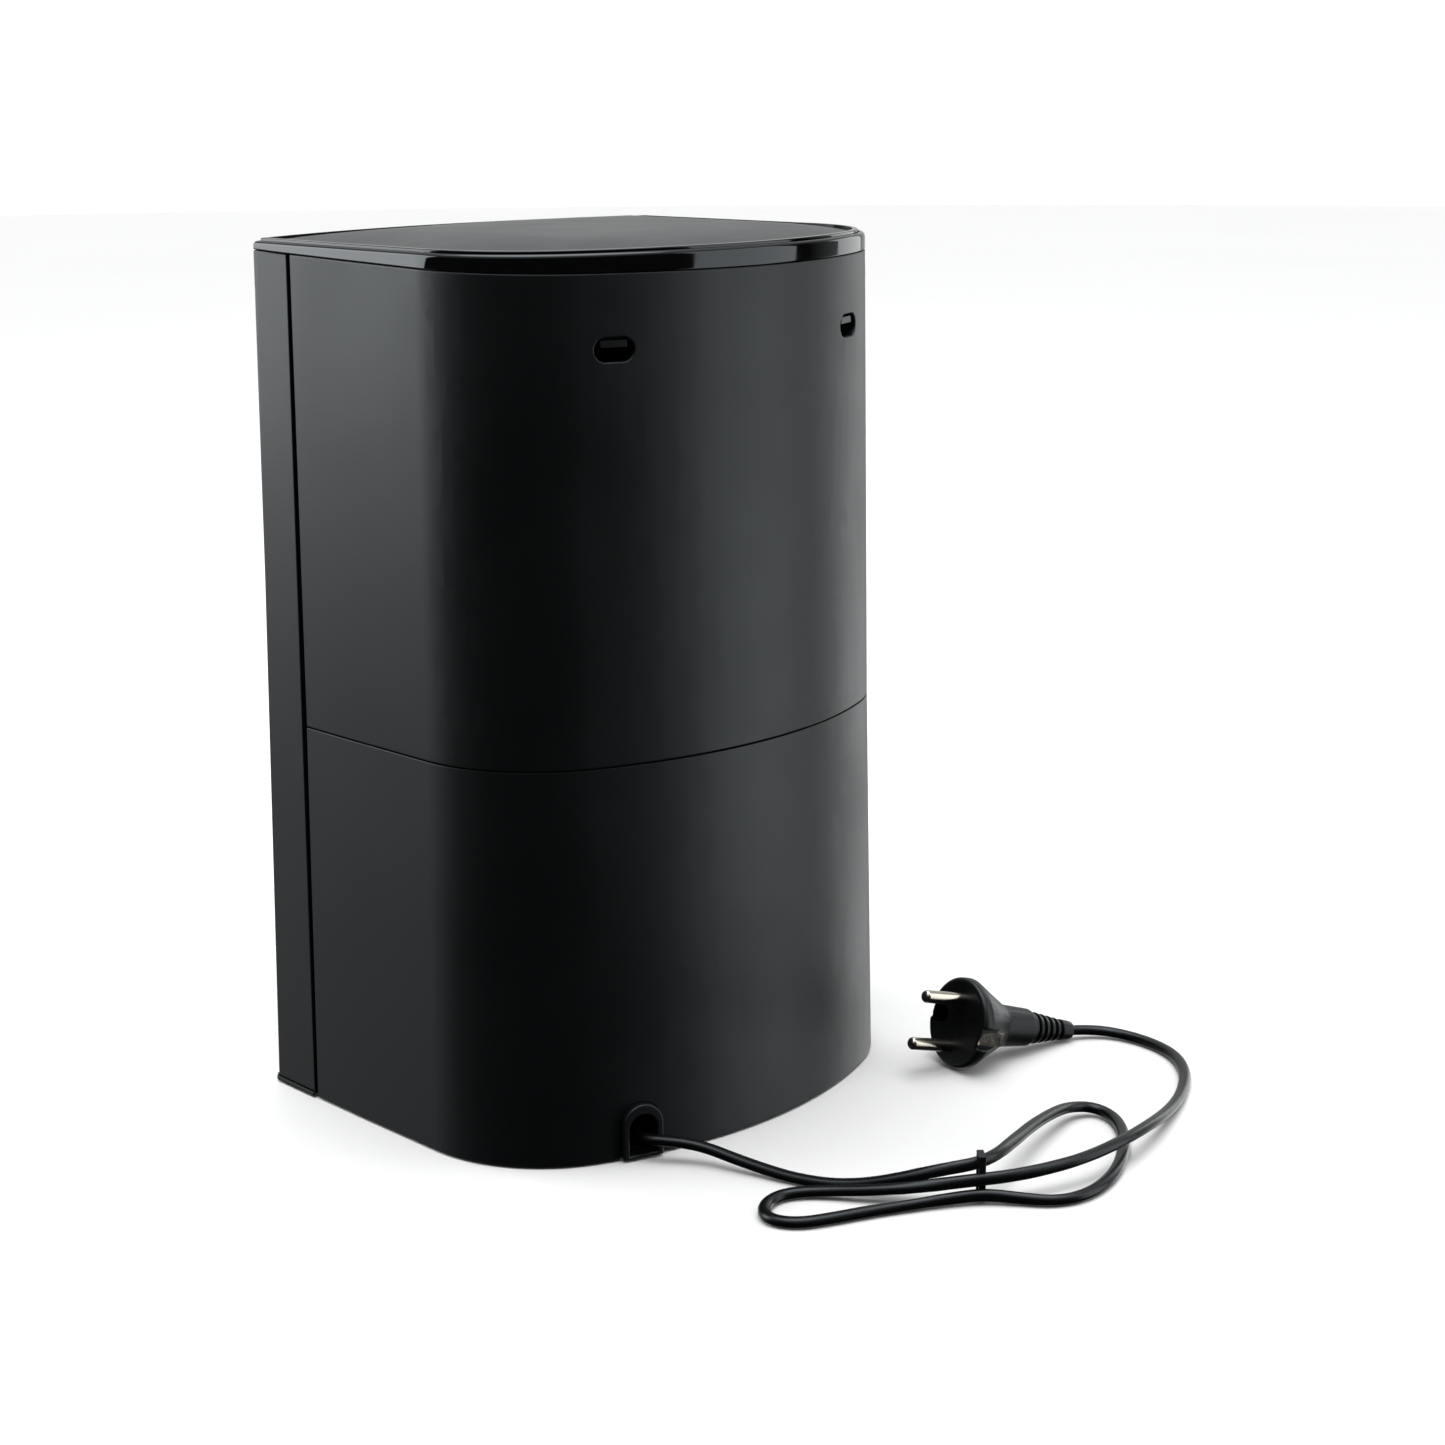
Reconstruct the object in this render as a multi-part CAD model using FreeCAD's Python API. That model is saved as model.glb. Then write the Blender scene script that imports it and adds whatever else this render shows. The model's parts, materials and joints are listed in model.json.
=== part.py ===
import FreeCAD, Part
import math
import os

# Counter-top electric can opener: a D-shaped tower with a motor and a gear train
# inside and a lever, cutter and drive wheel on its front. Millimetres, +Z up.
# It is drawn from the line through the two front corners: X to the right seen
# from the front, +Y to the back. The end of the script moves it so that the
# origin lies under the middle of the footprint, on the floor.

V = FreeCAD.Vector
X_AXIS = V(1, 0, 0)
Y_AXIS = V(0, 1, 0)
Z_AXIS = V(0, 0, 1)

# --- body outline, at seam height ---
body_height = 312.0
front_half_width = 96.5
side_bulge = 1.6
front_bow = 18.1
corner_radius = 53.0
back_radius = 161.0
body_depth = 156.2
front_corner_radius = 2.5
seam_z = 141.0
base_flare = 1.026
top_taper = 0.981
taper_centre_y = 77.0
wall = 2.5
joint_y = 23.0
joint_gap = 1.8
seam_gap = 0.3
lap_clear = 0.3
lap_thick = 1.4
lap_depth = 4.0

# --- base ---
base_z = 0.6
base_thick = 3.0
lip_out = 0.8
lip_thick = 1.6
panel_foot_gap = 0.2
shell_foot_z = 0.8
foot_radius = 8.0
foot_inset = 26.0
foot_sink = 1.2
foot_round = 0.25
base_boss_radius = 6.0
base_boss_height = 18.0
base_boss_reach = 16.0
base_boss_web = 1.5
front_boss_inset = 20.1
base_screw_radius = 1.6
base_screw_head = 3.4
base_screw_sink = 1.8

# --- top ---
rim_drop = 4.1
rim_front_z = body_height - rim_drop
rim_slope = 0.0236
rim_gap = 0.25
rim_width = 4.6
rim_round = 1.6
rim_shoulder_drop = 1.0
lip_inset = 2.5
lip_round = 0.5
groove_width = 0.6
groove_depth = 0.9
rim_ledge_inset = 3.0
rim_ledge_reach = 6.0
rim_ledge_depth = 4.0
top_panel_thick = 2.8
top_panel_sink = 1.3
top_panel_clear = 0.15
top_crown = 3.6
top_crown_reach = 44.0
top_crown_steps = 5

# --- latch slots in the back ---
slot_x = 57.0
slot_drop = 32.0
slot_z = body_height - slot_drop
slot_width = 14.0
slot_height = 8.0
latch_leg = 2.4
latch_thick = 2.2
latch_nose_width = 9.5
latch_nose_height = 2.4

# --- cord arch ---
cord_width = 4.2
arch_x = 52.5
arch_width = 15.4
arch_top = 20.5
arch_open_width = 10.4
arch_open_top = 16.8
arch_proud = 2.3
arch_depth = 8.0
arch_plug_thick = 6.0
arch_clear = 0.15
cord_z = 8.0

# --- gear train ---
gear_module = 1.25
pinion_teeth = 14
wheel_teeth = 48
backlash = 0.4
gear_width = 6.0
pinion_width = 8.0
layer_pitch = 8.0
plate_thick = 2.0
plate_set_back = 9.1
front_plate_y = plate_set_back - front_bow
layer_front_y = front_plate_y + 4.0
rear_plate_y = front_plate_y + 28.0
output_drop = 62.0
output_z = body_height - output_drop
stage_turn = 60.0
pillar_radius = 4.5
pillar_room = 3.5
pillar_x = gear_module * wheel_teeth / 2 + pillar_radius + pillar_room
plate_half_width = pillar_x + 6.0
pillar_above_output = 32.0
pillar_below_gear = 18.9
plate_over_pillar = 8.0
rear_plate_under_motor = 38.0
gear_screw_radius = 1.5
gear_screw_head = 3.0
gear_screw_head_thick = 2.0
gear_screw_reach = 3.0
screw_clear = 0.1
pin_radius = 3.0
run_clear = 0.05
hub_radius = 5.2
end_gap = 0.3

# --- head on the front ---
pad_half_width = 60.0
pad_below_output = 28.0
pad_drop = 15.0
pad_proud = 2.9
pad_depth = 9.0
pad_low = output_z - pad_below_output
pad_high = body_height - pad_drop
pad_front_y = -front_bow - pad_proud
head_plate_thick = 1.5
head_plate_margin = 1.5
head_plate_corner = 6.0
head_front_y = pad_front_y - head_plate_thick
head_screw_head = 3.5
head_screw_thick = 2.0
head_screw_inset = 7.0
head_screw_grip = 6.0
pivot_x = 42.0
pivot_z = output_z + 16.0
pivot_radius = 4.0
pivot_head_radius = 7.0
pivot_head_thick = 2.0
lever_hub_radius = 9.5
lever_thick = 6.0
lever_hub_back_y = head_front_y - 0.4
lever_back_y = head_front_y - 3.1
lever_front_y = lever_back_y - lever_thick
lever_half_height = 8.0
lever_crown = 4.0
lever_neck_half = 14.0
lever_end_x = -52.0
lever_rise = 5.0
lever_over_drive = 2.2
spigot_length = 20.0
spigot_half = 5.0
grip_length = 42.0
grip_height = 22.0
grip_proud = 12.4
grip_round = 6.0
cutter_radius = 11.0
cutter_thick = 1.5
cutter_edge = 2.5
cutter_z = output_z + 16.5
cutter_back_y = lever_front_y - 0.9
cutter_axle_radius = 3.0
cutter_head_radius = 5.5
cutter_head_thick = 1.8
magnet_y = lever_front_y - 26.4
magnet_radius = 11.0
magnet_thick = 4.0
magnet_low = output_z + 8.5
magnet_pin_y = lever_front_y - 6.4
magnet_pin_z = output_z + 36.0
magnet_pin_radius = 1.8
magnet_hub_radius = 4.2
magnet_hub_half = 7.0
magnet_cup_wall = 1.5
magnet_cup_roof = 2.5
magnet_neck_half = 4.5
ear_thick = 3.5
ear_radius = 4.0

# --- output ---
output_shaft_radius = 4.0
shaft_collar = 1.5
bush_radius = 6.5
bush_flange = 8.5
bush_flange_thick = 1.0
drive_wheel_radius = 7.0
drive_wheel_width = 5.0
drive_wheel_teeth = 20
drive_tooth_depth = 0.9
drive_wheel_back_y = head_front_y - 2.5
drive_screw_head = 3.5
drive_screw_rim = 4.5
drive_screw_thick = 2.0
guide_drop = 14.0
guide_height = 5.0
guide_proud = 6.5
guide_left = 10.0
guide_right = 44.0

# --- motor ---
stack_half_width = 38.0
stack_half_height = 34.0
stack_length = 28.0
stack_front_y = rear_plate_y + plate_thick + 15.0
yoke = 7.0
pole_half_width = 15.0
stator_bore = 17.5
air_gap = 0.8
coil_thick = 8.0
coil_low = 12.0
coil_corner = 3.0
motor_shaft_radius = 3.0
motor_bolt_radius = 1.6
motor_bolt_head = 3.0
motor_bolt_head_thick = 2.2
bridge_thick = 3.0
bridge_half_height = 7.0
bridge_gap = 0.2
motor_boss_radius = 7.0
motor_boss_clear = 0.3
fan_radius = 25.0
fan_blades = 9
fan_gap = 3.5
fan_disc = 1.5
fan_depth = 10.5
fan_hub = 7.0
blade_half = 0.7

# --- switch ---
switch_x = -34.0
switch_half_width = 14.0
switch_depth = 15.5
switch_front_y = head_front_y - switch_depth
switch_low = output_z - 26.0
switch_high = output_z + 2.0
switch_wall = 2.0
plunger_radius = 3.0
plunger_y = head_front_y - 7.8
plunger_gap = 0.5
plunger_travel = 2.0
plunger_collar = 5.0
collar_thick = 2.0
spring_wire = 0.4
spring_turns = 5
spring_bends = 10
spring_room = 1.2
micro_top = output_z - 12.0
micro_half_x = 10.0
micro_half_y = 3.2

# --- electrics on the base ---
ballast_half_width = 60.0
ballast_front_y = 40.0
ballast_back_y = 92.0
ballast_height = 9.0
terminal_x = 42.0
terminal_half_width = 12.0
terminal_depth = 12.0
terminal_set_back = 45.2
terminal_height = 10.0
terminal_pitch = 6.0
terminal_hole = 1.8

# --- plug on the floor ---
plug_face = V(-88.0, 172.4, 17.8)
plug_heading = -14.0
plug_tilt = 14.5
plug_roll = -6.0
plug_radius = 17.2
plug_rim = 4.0
plug_cone = 20.0
plug_grip_radius = 7.2
plug_grip = 34.0
plug_pin_radius = 2.4
plug_pin_pitch = 19.0
plug_pin_length = 19.0
plug_notch_half = 2.6
plug_notch_depth = 14.0
earth_hole_radius = 2.4
earth_hole_offset = 9.0
earth_clip_thick = 1.0
relief_length = 22.0
relief_end_radius = 3.4
relief_ribs = 5

# --- cord: its route over the floor ---
cord_route = [
    V(54.8, 151.5, 8.0),
    V(51.3, 161.0, 7.6),
    V(45.2, 169.6, 6.2),
    V(39.6, 179.0, 4.2),
    V(36.0, 190.0, 2.8),
    V(32.0, 202.6, 2.1),
    V(24.6, 215.4, 2.3),
    V(16.0, 228.0, 4.8),
    V(8.2, 240.0, 9.8),
    V(2.7, 250.3, 12.6),
    V(-7.7, 259.7, 12.6),
    V(-19.6, 260.4, 12.4),
    V(-32.6, 252.6, 10.6),
    V(-47.4, 243.0, 8.0),
    V(-62.8, 236.0, 5.2),
    V(-74.4, 232.0, 3.0),
    V(-82.2, 231.4, 2.1),
    V(-89.2, 236.0, 2.1),
    V(-90.0, 245.6, 2.1),
    V(-82.0, 255.2, 2.1),
    V(-69.0, 264.0, 2.1),
    V(-54.0, 273.0, 2.1),
    V(-39.0, 280.6, 2.1),
    V(-25.5, 281.6, 2.1),
    V(-15.0, 274.6, 2.3),
    V(-7.7, 259.7, 3.4),
    V(2.7, 250.3, 3.4),
    V(15.8, 244.6, 2.4),
    V(31.0, 239.4, 2.1),
    V(45.6, 233.4, 2.1),
    V(57.8, 227.4, 2.1),
    V(62.6, 218.4, 2.1),
    V(57.2, 210.0, 2.1),
    V(47.0, 208.0, 2.1),
    V(37.8, 212.0, 2.1),
    V(30.0, 220.4, 2.1),
    V(22.6, 230.0, 3.2),
    V(13.2, 240.4, 5.8),
    V(2.7, 250.3, 8.0),
    V(-7.7, 259.7, 8.0),
    V(-22.4, 265.4, 8.4),
    V(-38.0, 270.6, 9.6),
    V(-54.6, 272.8, 10.8),
    V(-72.0, 271.2, 10.8),
    V(-88.0, 267.0, 8.2),
    V(-104.0, 261.0, 4.6),
    V(-119.6, 254.0, 2.1),
    V(-134.0, 245.4, 2.1),
    V(-145.8, 233.8, 2.1),
    V(-152.8, 219.6, 2.1),
    V(-154.5, 202.0, 2.1),
    V(-148.6, 188.2, 2.4),
]
tie_entry = V(2.7, 250.3, 0)
tie_exit = V(-7.7, 259.7, 0)
tie_low = 3.4
tie_high = 12.6
tie_band = 0.9
tie_width = 2.4
tie_clear = 0.3

nodes = {}


def block(x0, x1, y0, y1, z0, z1):
    """Box between two corners."""
    box = Part.makeBox(x1 - x0, y1 - y0, z1 - z0)
    box.translate(V(x0, y0, z0))
    return box


def rod(x, z, radius, y0, y1):
    """Round bar along Y."""
    return Part.makeCylinder(radius, y1 - y0, V(x, y0, z), Y_AXIS)


def post(x, y, radius, z0, z1):
    """Round bar along Z."""
    return Part.makeCylinder(radius, z1 - z0, V(x, y, z0), Z_AXIS)


def fuse(shapes):
    """All the shapes as one solid."""
    whole = shapes[0]
    if len(shapes) > 1:
        whole = whole.multiFuse(shapes[1:])
    whole = whole.removeSplitter()
    return whole.Solids[0] if len(whole.Solids) == 1 else whole


def group(shapes):
    """Equal pieces that share one node."""
    return Part.makeCompound(shapes)


def round_path(points):
    """Straight runs joined by tangent arcs: wire, radii and length."""
    edges = []
    radii = []
    start = points[0]
    for i in range(1, len(points) - 1):
        before = points[i - 1] - points[i]
        after = points[i + 1] - points[i]
        shorter = min(before.Length, after.Length)
        turn = math.pi - before.getAngle(after)
        radius = 0.45 * shorter / math.tan(turn / 2)
        u = before.normalize()
        w = after.normalize()
        a = points[i] + u * (0.45 * shorter)
        b = points[i] + w * (0.45 * shorter)
        bisector = (u + w).normalize()
        centre = points[i] + bisector * (radius / math.cos(turn / 2))
        edges.append(Part.LineSegment(start, a).toShape())
        edges.append(Part.Arc(a, centre - bisector * radius, b).toShape())
        radii.append(radius)
        start = b
    edges.append(Part.LineSegment(start, points[-1]).toShape())
    wire = Part.Wire(edges)
    return wire, radii


def tube(points, diameter, name):
    wire, radii = round_path(points)
    heading = (points[1] - points[0]).normalize()
    section = Part.Wire(Part.makeCircle(diameter / 2, points[0], heading))
    solid = wire.makePipeShell([section], True, False)
    expected = math.pi * diameter ** 2 / 4 * wire.Length
    print(name, "length", round(wire.Length, 1), "volume ratio", round(solid.Volume / expected, 4))
    print(name, "smallest radii", sorted(round(r, 1) for r in radii)[:12])
    return solid


def cross_circles(c1, r1, c2, r2):
    """The crossing of two circles that lies to the left of the way from c1 to c2."""
    along = c2 - c1
    d = along.Length
    a = (r1 * r1 - r2 * r2 + d * d) / (2 * d)
    h = math.sqrt(r1 * r1 - a * a)
    e = along / d
    return c1 + e * a + V(-e.y, e.x, 0) * h


def scale_at(z):
    """Size of the outline at height z, against its size at the seam."""
    if z < seam_z:
        return base_flare + (1.0 - base_flare) * z / seam_z
    return 1.0 + (top_taper - 1.0) * (z - seam_z) / (body_height - seam_z)


half_width = front_half_width + side_bulge
back_centre_y = body_depth - back_radius
corner_x = half_width - corner_radius
corner_y = back_centre_y + math.sqrt((back_radius - corner_radius) ** 2 - corner_x ** 2)
front_radius = (front_half_width ** 2 + front_bow ** 2) / (2 * front_bow)
side_radius = (corner_y ** 2 + side_bulge ** 2) / (2 * side_bulge)
front_centre = V(0, front_radius - front_bow, 0)
side_centre = V(half_width - side_radius, corner_y, 0)
corner_end = math.atan2(corner_y - back_centre_y, corner_x)


def at_height(p, z):
    """A point of the outline, drawn in at height z."""
    s = scale_at(z)
    return V(p.x * s, taper_centre_y + (p.y - taper_centre_y) * s, z)


def polar(centre, radius, angle):
    return centre + V(math.cos(angle), math.sin(angle), 0) * radius


def mirrored(p):
    return V(-p.x, p.y, p.z)


def outline(inset, z):
    """Closed D-shaped wire at height z, its sides drawn in by inset."""
    blend = max(front_corner_radius - inset, 0.5)
    centre = cross_circles(front_centre, front_radius - inset - blend,
                           side_centre, side_radius - inset - blend)
    from_front = (centre - front_centre).normalize()
    from_side = (centre - side_centre).normalize()
    middle = (from_front + from_side).normalize()
    front_end = front_centre + from_front * (front_radius - inset)
    side_start = side_centre + from_side * (side_radius - inset)
    side_end = V(half_width - inset, corner_y, 0)
    half_side = math.atan2(side_start.y - side_centre.y, side_start.x - side_centre.x) / 2
    corner = V(corner_x, corner_y, 0)
    back = V(0, back_centre_y, 0)
    right = [
        (front_end, centre + middle * blend, side_start),
        (side_start, polar(side_centre, side_radius - inset, half_side), side_end),
        (side_end, polar(corner, corner_radius - inset, corner_end / 2),
         polar(corner, corner_radius - inset, corner_end)),
    ]
    back_start = polar(back, back_radius - inset, corner_end)
    arcs = right + [(back_start, V(0, body_depth - inset, 0), mirrored(back_start))]
    arcs += [(mirrored(c), mirrored(b), mirrored(a)) for a, b, c in reversed(right)]
    arcs.append((mirrored(front_end), V(0, inset - front_bow, 0), front_end))
    edges = [Part.Arc(*[at_height(p, z) for p in arc]).toShape() for arc in arcs]
    return Part.Wire(edges)


def tower(inset, z0, z1):
    """Solid of the outline between two heights."""
    levels = [z0, z1]
    if z0 < seam_z < z1:
        levels.insert(1, seam_z)
    return Part.makeLoft([outline(inset, z) for z in levels], True, True)


def ring(inset0, inset1, z0, z1):
    """Band of the outline between two insets and two heights."""
    return tower(inset0, z0, z1).cut(tower(inset1, z0 - 1, z1 + 1))


def back_angle(x):
    return math.acos(x / back_radius)


def on_back(shape, x, z):
    """Move a shape drawn at the origin, with +Y outwards, to the back wall."""
    angle = back_angle(x)
    shape = shape.copy()
    shape.rotate(V(0, 0, 0), Z_AXIS, math.degrees(angle) - 90)
    p = at_height(polar(V(0, back_centre_y, 0), back_radius, angle), z)
    shape.translate(V(p.x, p.y, 0))
    return shape


far = 400.0
front_zone = block(-far, far, -far, joint_y - joint_gap / 2, -far, far)
rear_zone = block(-far, far, joint_y + joint_gap / 2, far, -far, far)


def under_rim(gap):
    """Everything below the sloping lower edge of the rim, less a gap."""
    low = -far
    z_front = rim_front_z - gap + rim_slope * far
    z_back = rim_front_z - gap - rim_slope * far
    corners = [V(-far, -far, low), V(-far, far, low), V(-far, far, z_back), V(-far, -far, z_front)]
    face = Part.Face(Part.makePolygon(corners + corners[:1]))
    return face.extrude(V(2 * far, 0, 0))


# ---------------------------------------------------------------- where the gear train stands
stage = gear_module * (pinion_teeth + wheel_teeth) / 2
lean = math.radians(stage_turn)
down_right = -lean
down_left = lean - math.pi
down = -math.pi / 2
gear_2_x = stage * math.cos(down_right)
gear_2_z = output_z + stage * math.sin(down_right)
gear_1_x = gear_2_x + stage * math.cos(down_left)
gear_1_z = gear_2_z + stage * math.sin(down_left)
motor_x = gear_1_x
motor_z = gear_1_z - stage
pillar_low_z = gear_1_z - pillar_below_gear
pillar_high_z = output_z + pillar_above_output
front_plate_low = pillar_low_z - plate_over_pillar
rear_plate_low = motor_z - rear_plate_under_motor
plate_high = pillar_high_z + plate_over_pillar
gear_screw_end_y = front_plate_y - gear_screw_reach

# ---------------------------------------------------------------- base plate
base_top = base_z + base_thick
plate_inset = wall + 0.4
base_boss_inset = wall + base_boss_radius - 1.0
boss_places = []
for side in (1, -1):
    boss_places.append((side * (half_width - base_boss_inset), corner_y - 20.0))
    boss_places.append((side * (half_width - front_boss_inset), joint_y + 16.0))

foot_places = []
for side in (1, -1):
    foot_places.append((side * (front_half_width - foot_inset), foot_inset - 8.0))
    foot_places.append((side * (corner_x + 6.0), body_depth - foot_inset - 12.0))


def base_screw(x, y):
    head = post(x, y, base_screw_head, base_z + 0.3, base_z + base_screw_sink)
    return fuse([head, post(x, y, base_screw_radius, base_z + base_screw_sink, base_boss_height - 3.0)])


lip = tower(-lip_out, base_z, base_z + lip_thick).common(front_zone)
base_plate = fuse([tower(plate_inset, base_z, base_top), lip])
for x, y in foot_places:
    base_plate = base_plate.cut(post(x, y, foot_radius + 0.1, base_z - 1, base_z + foot_sink))
for x, y in boss_places:
    base_plate = base_plate.cut(post(x, y, base_screw_head + 0.2, base_z - 1, base_z + base_screw_sink))
    base_plate = base_plate.cut(post(x, y, base_screw_radius + screw_clear, base_z, base_top + 1))
nodes["base_screws"] = group([base_screw(x, y) for x, y in boss_places])
for i, (x, y) in enumerate(foot_places):
    foot = post(x, y, foot_radius, 0, base_z + foot_sink)
    nodes["foot_%d" % (i + 1)] = foot.makeFillet(foot_round, [foot.Edges[2]])

# ---------------------------------------------------------------- rear shells
boss_floor = base_top + 0.2
lower_wall = ring(0, wall, shell_foot_z, seam_z - seam_gap / 2).common(rear_zone)
lap_zone = block(-far, far, joint_y + joint_gap / 2 + lap_depth, far, -far, far)
lap_outer = wall + lap_clear
lap_inner = lap_outer + lap_thick
lap = ring(lap_outer, lap_inner, seam_z - 2 * lap_depth, seam_z + lap_depth)
lap_root = ring(wall - 0.3, lap_inner, seam_z - 2 * lap_depth, seam_z - lap_depth)
inside = tower(wall - 0.5, boss_floor - 1, seam_z)
lower_shell = fuse([lower_wall, fuse([lap, lap_root]).common(lap_zone)])
for x, y in boss_places:
    boss = post(x, y, base_boss_radius, boss_floor, base_boss_height)
    reach = x + math.copysign(base_boss_reach, x)
    web = block(min(x, reach), max(x, reach), y - base_boss_web, y + base_boss_web, boss_floor,
                base_boss_height)
    lower_shell = lower_shell.fuse(fuse([boss, web]).common(inside))
for x, y in boss_places:
    lower_shell = lower_shell.cut(post(x, y, base_screw_radius, 0, base_boss_height - 2.0))


def arch(width, top, y0, y1, low):
    """Round-headed doorway shape, drawn at the origin with +Y outwards."""
    r = width / 2
    walls = block(-r, r, y0, y1, low, top - r)
    head = rod(0, top - r, r, y0, y1).common(block(-r, r, y0, y1, top - r, top))
    return fuse([walls, head])


doorway = arch(arch_width + 2 * arch_clear, arch_top + arch_clear, -20, 10, -5)
lower_shell = lower_shell.cut(on_back(doorway, arch_x, cord_z))
nodes["lower_rear_shell"] = lower_shell.Solids[0]

upper_shell = ring(0, wall, seam_z + seam_gap / 2, body_height - 1).common(rear_zone)
upper_shell = upper_shell.common(under_rim(0))
slot_flat = (slot_width - slot_height) / 2
slot = fuse([
    block(-slot_flat, slot_flat, -20, 10, slot_z - slot_height / 2, slot_z + slot_height / 2),
    rod(-slot_flat, slot_z, slot_height / 2, -20, 10),
    rod(slot_flat, slot_z, slot_height / 2, -20, 10),
])
for side in (1, -1):
    upper_shell = upper_shell.cut(on_back(slot, side * slot_x, slot_z))
nodes["upper_rear_shell"] = upper_shell.Solids[0]

# ---------------------------------------------------------------- cord bush in its arch
bush = arch(arch_width, arch_top, -arch_depth, arch_proud, base_top + 0.2)
bush = bush.fuse(block(-arch_width / 2, arch_width / 2, -wall, arch_proud, shell_foot_z, base_top + 1))
bush = bush.cut(arch(arch_open_width, arch_open_top, -arch_depth, arch_proud + 1, 2.2))
back_wall = arch(arch_width, arch_top, -arch_depth - arch_plug_thick, -arch_depth, base_top + 0.2)
nodes["cord_bush"] = on_back(fuse([bush, back_wall]), arch_x, cord_z)

# ---------------------------------------------------------------- front panel
panel_foot = base_z + lip_thick + panel_foot_gap
panel_wall = ring(0, wall, panel_foot, body_height - 1).common(front_zone)
tongue_zone = block(-far, far, joint_y - joint_gap / 2 - lap_depth,
                    joint_y + joint_gap / 2 + lap_depth - 0.5, -far, far)
tongue_low = base_top + 0.3
tongue = ring(lap_outer, lap_inner, tongue_low, rim_front_z - 6.0).common(tongue_zone)
root_zone = block(-far, far, joint_y - joint_gap / 2 - lap_depth,
                  joint_y - joint_gap / 2 - 0.5, -far, far)
tongue_root = ring(wall - 0.3, lap_inner, tongue_low, rim_front_z - 6.0).common(root_zone)
pad = block(-pad_half_width, pad_half_width, pad_front_y, pad_front_y + pad_depth, pad_low, pad_high)
for side in (1, -1):
    outer_end = block(side * pad_half_width - 14, side * pad_half_width + 14, pad_front_y + pad_depth - 1,
                      0, pad_low, pad_high)
    pad = pad.fuse(outer_end.common(block(-pad_half_width, pad_half_width, -far, far, 0, far)))
pad = pad.cut(tower(wall, pad_low - 9, pad_high + 9))
panel_bosses = []
for x in (-pillar_x, pillar_x):
    for z in (pillar_low_z, pillar_high_z):
        boss = rod(x, z, pillar_radius, pad_front_y, front_plate_y)
        panel_bosses.append(boss.common(tower(wall - 0.5, z - 20, z + 20)))
panel = fuse([panel_wall, tongue, tongue_root, pad] + panel_bosses).common(under_rim(0))
for x in (-pillar_x, pillar_x):
    for z in (pillar_low_z, pillar_high_z):
        panel = panel.cut(rod(x, z, gear_screw_radius, gear_screw_end_y - 0.5, 0))

# ---------------------------------------------------------------- top rim and top panel
def rounded_tower(inset, radius, z0, z1):
    """Tower whose upper edge is rounded."""
    levels = [(inset, z0), (inset, z1 - radius)]
    for step in (1, 2, 3):
        turn = math.radians(30 * step)
        levels.append((inset + radius * (1 - math.cos(turn)), z1 - radius + radius * math.sin(turn)))
    return Part.makeLoft([outline(d, z) for d, z in levels], True, True)


shoulder_z = body_height - rim_shoulder_drop
groove_z = shoulder_z - groove_depth
rim_solid = rounded_tower(0, rim_round, rim_front_z - 12.0, shoulder_z)
rim_solid = rim_solid.cut(ring(lip_inset - groove_width, lip_inset, groove_z, body_height))
rim_solid = rim_solid.fuse(rounded_tower(lip_inset, lip_round, rim_front_z - 12.0, body_height))
rim_band = rim_solid.cut(tower(rim_width, rim_front_z - 20, body_height + 1))
rim_band = rim_band.cut(under_rim(-rim_gap))
panel_top = body_height - top_panel_sink
ledge_top = panel_top - top_panel_thick
ledge = ring(rim_ledge_inset, rim_ledge_inset + rim_ledge_reach, ledge_top - rim_ledge_depth, ledge_top)
ledge_wall = ring(rim_ledge_inset, rim_width, ledge_top - 0.5, rim_front_z + 1)
nodes["top_rim"] = fuse([rim_band, ledge_wall, ledge])
panel_inset = rim_width + top_panel_clear
panel_levels = [(panel_inset, ledge_top)]
for step in range(top_crown_steps + 1):
    share = step / top_crown_steps
    panel_levels.append((panel_inset + share * top_crown_reach, panel_top + top_crown * share * (2 - share)))
nodes["top_panel"] = Part.makeLoft([outline(d, z) for d, z in panel_levels], True, True)

# ---------------------------------------------------------------- latches behind the slots
latch_front = -wall - 0.7
latch_back = latch_front - latch_thick
latch_half = slot_width / 2 + 1.0
bar_low = slot_z + 0.6
latch = [block(-latch_half - latch_leg, latch_half + latch_leg, latch_back, latch_front,
               bar_low, slot_z + slot_height / 2 + 2)]
for side in (-1, 1):
    inner = side * latch_half
    outer = side * (latch_half + latch_leg)
    latch.append(block(min(inner, outer), max(inner, outer), latch_back, latch_front,
                       bar_low, ledge_top - rim_ledge_depth))
latch.append(block(-latch_nose_width / 2, latch_nose_width / 2, latch_front - 0.5, -0.9,
                   bar_low, bar_low + latch_nose_height))
latch = fuse(latch)
nodes["latch_right"] = on_back(latch, slot_x, slot_z)
nodes["latch_left"] = on_back(latch, -slot_x, slot_z)


# ---------------------------------------------------------------- gears
def involute(angle):
    return math.tan(angle) - angle


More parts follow.
